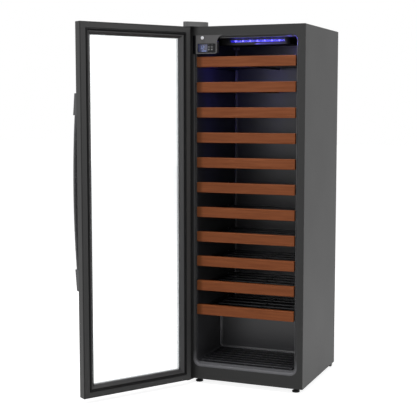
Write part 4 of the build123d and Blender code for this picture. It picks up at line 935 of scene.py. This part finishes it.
digits = bmesh.new()
digit_low = glass_low.z + 12 * MM
digit_bars(digits, "1", glass_low.x + 9 * MM, digit_low)
digit_bars(digits, "2", glass_low.x + 23 * MM, digit_low)
rounded_block(
    digits,
    (glass_low.x + 18 * MM, lit_y - LIT_T, glass_low.z + 3 * MM),
    (glass_low.x + 42 * MM, lit_y, glass_low.z + 6 * MM),
    MARK_EDGE,
    1,
)
add_piece(digits, "display_digits", "cabinet", digit_glow)
print("digits shown: 12")


# %% Key marks
def mark(bm, kind, centre, size, y):
    """One raised mark on a key: an arrow, a ring or a bar."""
    upright = Matrix.Rotation(math.radians(90), 4, "X")
    if kind in ("up", "down"):
        turn_deg = 90 if kind == "up" else -90
        matrix = Matrix.Translation((centre[0], y, centre[1])) @ upright
        matrix = matrix @ Matrix.Rotation(math.radians(turn_deg), 4, "Z")
        bmesh.ops.create_cone(
            bm, cap_ends=True, segments=3, radius1=size, radius2=size, depth=LIT_T, matrix=matrix
        )
    elif kind == "ring":
        made = bmesh.ops.create_circle(bm, cap_ends=True, segments=24, radius=size)
        face = made["verts"][0].link_faces[0]
        ring = bmesh.ops.inset_region(bm, faces=[face], thickness=size * 0.35, use_boundary=True)["faces"]
        bmesh.ops.delete(bm, geom=[face], context="FACES_ONLY")
        lifted = thickened(bm, ring, (0, 0, LIT_T))
        ring_verts = list({vert for face in ring for vert in face.verts} | set(lifted))
        place = Matrix.Translation((centre[0], y + LIT_T / 2, centre[1])) @ upright
        bmesh.ops.transform(bm, matrix=place, verts=ring_verts)
    else:
        rounded_block(
            bm,
            (centre[0] - size, y - LIT_T / 2, centre[1] - size * 0.3),
            (centre[0] + size, y + LIT_T / 2, centre[1] + size * 0.3),
            0.05 * MM,
            1,
        )


KEY_MARKS = dict(zip(KEY_NAMES, ("down", "up", "ring", "bar")))
MARK_SIZE, PRINT_SIZE = 2.6 * MM, 2.0 * MM
ROW_PITCH = 11 * MM
for key_name, kind in KEY_MARKS.items():
    low, high = key_boxes[key_name]
    signs = bmesh.new()
    mark(signs, kind, ((low.x + high.x) / 2, (low.z + high.z) / 2), MARK_SIZE, low.y - LIT_T / 2)
    paint = mark_paint if kind in ("down", "up") else faint_paint
    add_piece(signs, key_name + "_mark", key_name, paint)
printed = bmesh.new()
row_z = (key_boxes["control_key_3"][0].z + key_boxes["control_key_3"][1].z) / 2 + ROW_PITCH
for key_name, kind in (("control_key_3", "bar"), ("control_key_4", "ring")):
    low, high = key_boxes[key_name]
    mark(printed, kind, ((low.x + high.x) / 2, row_z), PRINT_SIZE, floor_y - SHEET_T - LIT_T / 2)
add_piece(printed, "window_marks", "cabinet", faint_paint)
print("marks:", len(KEY_MARKS) + 1)

# %% [markdown]
# ## Levelling feet
# A levelling foot is a moulded pad with a ribbed rim under a hexagonal collar that takes the spanner. The pad
# is a profile spun round its own axis, and the collar is a six-sided block with a bevelled edge.

# %% Feet
COLLAR_R = 10.4 * MM
COLLAR_H = 6.4 * MM
COLLAR_Z = 16.2 * MM
FOOT_PROFILE = (
    (0, 0.0),
    (17.6, 0.0),
    (18.8, 1.0),
    (18.8, 2.6),
    (18.0, 3.2),
    (18.8, 3.8),
    (18.8, 6.4),
    (17.4, 7.8),
    (10.6, 11.2),
    (8.2, 11.8),
    (8.2, 19.6),
    (5.0, 19.8),
    (4.9, 49.8),
    (0, 49.8),
)
for side in ("left", "right"):
    name = "front_foot_" + side
    low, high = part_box(name)
    centre = ((low.x + high.x) / 2, (low.y + high.y) / 2, low.z)
    foot = bmesh.new()
    turned(foot, [(radius * MM, height * MM) for radius, height in FOOT_PROFILE], centre)
    collar = bmesh.ops.create_cone(
        foot,
        cap_ends=True,
        segments=6,
        radius1=COLLAR_R,
        radius2=COLLAR_R,
        depth=COLLAR_H,
        matrix=Matrix.Translation((centre[0], centre[1], centre[2] + COLLAR_Z)),
    )
    rims = list({edge for vert in collar["verts"] for edge in vert.link_edges})
    bevel_edges(foot, rims, 0.7 * MM)
    add_piece(foot, name + "_turned", name, foot_rubber, (name,), smooth_deg=30)
print("feet turned: 2")

# %% [markdown]
# ## Back sheet and hinge
# The back sheet is held by small pan-head screws round its edge, and each louvre has a pressed eyebrow over
# it. The hinge cover has a seam where its boss meets its flat part.

# %% Back screws and louvre eyebrows
SCREW_HEAD_R = 4.2 * MM
SCREW_HEAD_T = 1.2 * MM
SCREW_ROWS, SCREW_END, SCREW_SIDE = 7, 30 * MM, 9 * MM
ON_SHEET = 0.05 * MM  # clear of the sheet it sits on
screws = bmesh.new()
screw_pitch = (back_high.z - back_low.z - 2 * SCREW_END) / (SCREW_ROWS - 1)
for row in range(SCREW_ROWS):
    for x in (back_low.x + SCREW_SIDE, back_high.x - SCREW_SIDE):
        place = (x, back_high.y + SCREW_HEAD_T / 2 + ON_SHEET, back_low.z + SCREW_END + row * screw_pitch)
        disc(screws, place, SCREW_HEAD_R, SCREW_HEAD_T, segments=20)
bevel_edges(screws, [edge for edge in screws.edges if edge.calc_face_angle(0) > 1], 0.5 * MM)
add_piece(screws, "back_screws", "cabinet", bright_steel)

LOUVRE_ROWS, LOUVRE_PITCH, LOUVRE_LOW = 11, 18 * MM, 45 * MM
LOUVRE_SPREAD, LOUVRE_W, LOUVRE_H = 150 * MM, 130 * MM, 6 * MM
brows = bmesh.new()
for row in range(LOUVRE_ROWS):
    for column in (-1, 0, 1):
        x = column * LOUVRE_SPREAD
        z = back_low.z + LOUVRE_LOW + row * LOUVRE_PITCH + LOUVRE_H / 2
        rounded_block(
            brows,
            (x - LOUVRE_W / 2, back_high.y + ON_SHEET, z + 0.3 * MM),
            (x + LOUVRE_W / 2, back_high.y + 1.3 * MM, z + 3.2 * MM),
            0.6 * MM,
            2,
        )
add_piece(brows, "louvre_brows", "cabinet", zinc)
print("back screws:", 2 * SCREW_ROWS, "louvre eyebrows:", 3 * LOUVRE_ROWS)

# %% Hinge cover seam
COVER_BOSS_W = 25 * MM
COVER_SEAM_HALF = 1.4 * MM
cover_low, cover_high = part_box("top_hinge_cover")
seam = bmesh.new()
seam_x = cover_low.x + COVER_BOSS_W
rounded_block(
    seam,
    (seam_x - COVER_SEAM_HALF, cover_low.y + 14 * MM, cover_low.z + 0.6 * MM),
    (seam_x + COVER_SEAM_HALF, cover_low.y + 60 * MM, cover_high.z - 0.05 * MM),
    0.4 * MM,
)
add_piece(seam, "cover_seam", "cabinet", black_plastic)
print("cover seam at x in mm:", round(seam_x / MM, 1))

# %% [markdown]
# ## Camera
# The camera looks from the right and slightly from above, from far enough away to keep the sides almost
# parallel.

# %% Camera
CAMERA_PLACE = (1.6279, -4.4795, 1.3695)  # metres
CAMERA_TURN = 22.24  # degrees to the left
CAMERA_DOWN = 5.87  # degrees below level
CAMERA_LENS = 85.45  # mm, for a sensor 36 mm wide
camera_data = bpy.data.cameras.new("camera")
camera_data.lens = CAMERA_LENS
camera_data.sensor_width = 36
camera = bpy.data.objects.new("camera", camera_data)
camera.location = CAMERA_PLACE
camera.rotation_euler = (math.radians(90 - CAMERA_DOWN), 0, math.radians(CAMERA_TURN))
bpy.context.scene.collection.objects.link(camera)
bpy.context.scene.camera = camera

# %% [markdown]
# ## Light and floor
# A white studio: the world and the floor are white to the eye, to glass and to anything glossy, and give a
# softer, weaker light to the surfaces. A soft box on the right lifts the cabinet's side, one fills from the
# left front, and a large one hangs above. Small blue lamps in the tub carry the strip's light to the walls.

# %% World
bpy.context.scene.view_settings.view_transform = "Standard"
WORLD_LEVEL = 0.45  # what the surfaces get, where the eye sees 1


def white_to_the_eye(tree, low, high):
    """A number that is high for camera, glossy and transmitted rays and low for the rest."""
    seen = tree.nodes.new("ShaderNodeLightPath")
    camera_or_gloss = tree.nodes.new("ShaderNodeMath")
    camera_or_gloss.operation = "MAXIMUM"
    any_seen = tree.nodes.new("ShaderNodeMath")
    any_seen.operation = "MAXIMUM"
    level = tree.nodes.new("ShaderNodeMapRange")
    level.inputs["To Min"].default_value = low
    level.inputs["To Max"].default_value = high
    tree.links.new(seen.outputs["Is Camera Ray"], camera_or_gloss.inputs[0])
    tree.links.new(seen.outputs["Is Glossy Ray"], camera_or_gloss.inputs[1])
    tree.links.new(camera_or_gloss.outputs["Value"], any_seen.inputs[0])
    tree.links.new(seen.outputs["Is Transmission Ray"], any_seen.inputs[1])
    tree.links.new(any_seen.outputs["Value"], level.inputs["Value"])
    return level.outputs["Result"]


world = bpy.data.worlds.new("Studio")
bpy.context.scene.world = world
world.use_nodes = True
background = world.node_tree.nodes["Background"]
background.inputs["Color"].default_value = (1, 1, 1, 1)
world.node_tree.links.new(white_to_the_eye(world.node_tree, WORLD_LEVEL, 1.0), background.inputs["Strength"])


# %% Soft boxes
def soft_box(name, place, aim, size, watts, colour=(1, 1, 1), height=0.0):
    """An area lamp, square or with its own height, that looks at AIM."""
    lamp_data = bpy.data.lights.new(name, "AREA")
    lamp_data.energy = watts
    lamp_data.size = size
    if height:
        lamp_data.shape = "RECTANGLE"
        lamp_data.size_y = height
    lamp_data.color = colour
    lamp = bpy.data.objects.new(name, lamp_data)
    lamp.location = place
    lamp.rotation_euler = (Vector(aim) - Vector(place)).to_track_quat("-Z", "Y").to_euler()
    bpy.context.scene.collection.objects.link(lamp)


middle = (shell_low + shell_high) / 2
soft_box("right box", (4.0, -1.0, 2.0), middle, 2.5, 30)
soft_box("front box", (-1.2, -4.5, 2.0), middle, 2.5, 50)
soft_box("top box", (-0.2, -0.6, 4.6), (-0.2, -0.6, 0), 1.8, 160)

# %% Blue lamps near the light strip
STRIP_BLUE = (0.16, 0.12, 1.0)
STRIP_VIOLET = (0.4, 0.32, 1.0)
tub_low, tub_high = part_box("inner_liner")
STRIP_LAMP_W = 0.27
soft_box(
    "strip halo",
    (strip_x, lens_low.y - 9 * MM, strip_z - 2 * MM),
    (strip_x, lens_low.y, strip_z),
    STRIP_LAMP_W,
    0.012,
    STRIP_BLUE,
    8 * MM,
)
soft_box(
    "strip down",
    (0.02, lens_low.y - 4 * MM, lens_low.z - 6 * MM),
    (0.1, lens_low.y + 120 * MM, lens_low.z - 200 * MM),
    STRIP_LAMP_W,
    0.22,
    STRIP_BLUE,
    8 * MM,
)
soft_box(
    "strip right",
    (tub_high.x - 60 * MM, lens_low.y - 60 * MM, strip_z - 22 * MM),
    (tub_high.x, -40 * MM, strip_z - 36 * MM),
    0.03,
    0.12,
    STRIP_BLUE,
)
soft_box(
    "strip back",
    (tub_high.x - 130 * MM, tub_high.y - 180 * MM, strip_z - 10 * MM),
    (tub_high.x - 100 * MM, tub_high.y, strip_z - 45 * MM),
    0.2,
    0.08,
    STRIP_VIOLET,
    0.02,
)
SPILL_WATTS = (0.16, 0.07, 0.035, 0.02, 0.012)  # under the first five boards, weaker as they go down
gap_boards = sorted((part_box(name)[0].z for name in nodes if name.endswith("_front")), reverse=True)
for n, (board_z, watts) in enumerate(zip(gap_boards, SPILL_WATTS)):
    z = board_z - 12 * MM
    soft_box(
        f"spill {n + 1}",
        (tub_low.x + 130 * MM, 0.1, z),
        (tub_low.x, 0.22, z - 40 * MM),
        0.12,
        watts,
        STRIP_BLUE,
        0.02,
    )

# %% Floor
bpy.ops.mesh.primitive_plane_add(size=60, location=(0, 0, 0))
floor = bpy.context.object
floor.name = "floor"
FLOOR_GLOW = 0.8  # lifts the floor to white, for the eye only
floor_paint, floor_tree, floor_shader = principled("Floor")
floor_shader.inputs["Base Color"].default_value = (0.5, 0.5, 0.5, 1)
floor_shader.inputs["Roughness"].default_value = 0.9
floor_shader.inputs["Specular IOR Level"].default_value = 0.0
floor_tree.links.new(white_to_the_eye(floor_tree, 0.0, FLOOR_GLOW), floor_shader.inputs["Emission Strength"])
floor_shader.inputs["Emission Color"].default_value = (1, 1, 1, 1)
floor.data.materials.append(floor_paint)
floor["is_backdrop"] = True

# %% Sizes and finish
low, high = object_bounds()
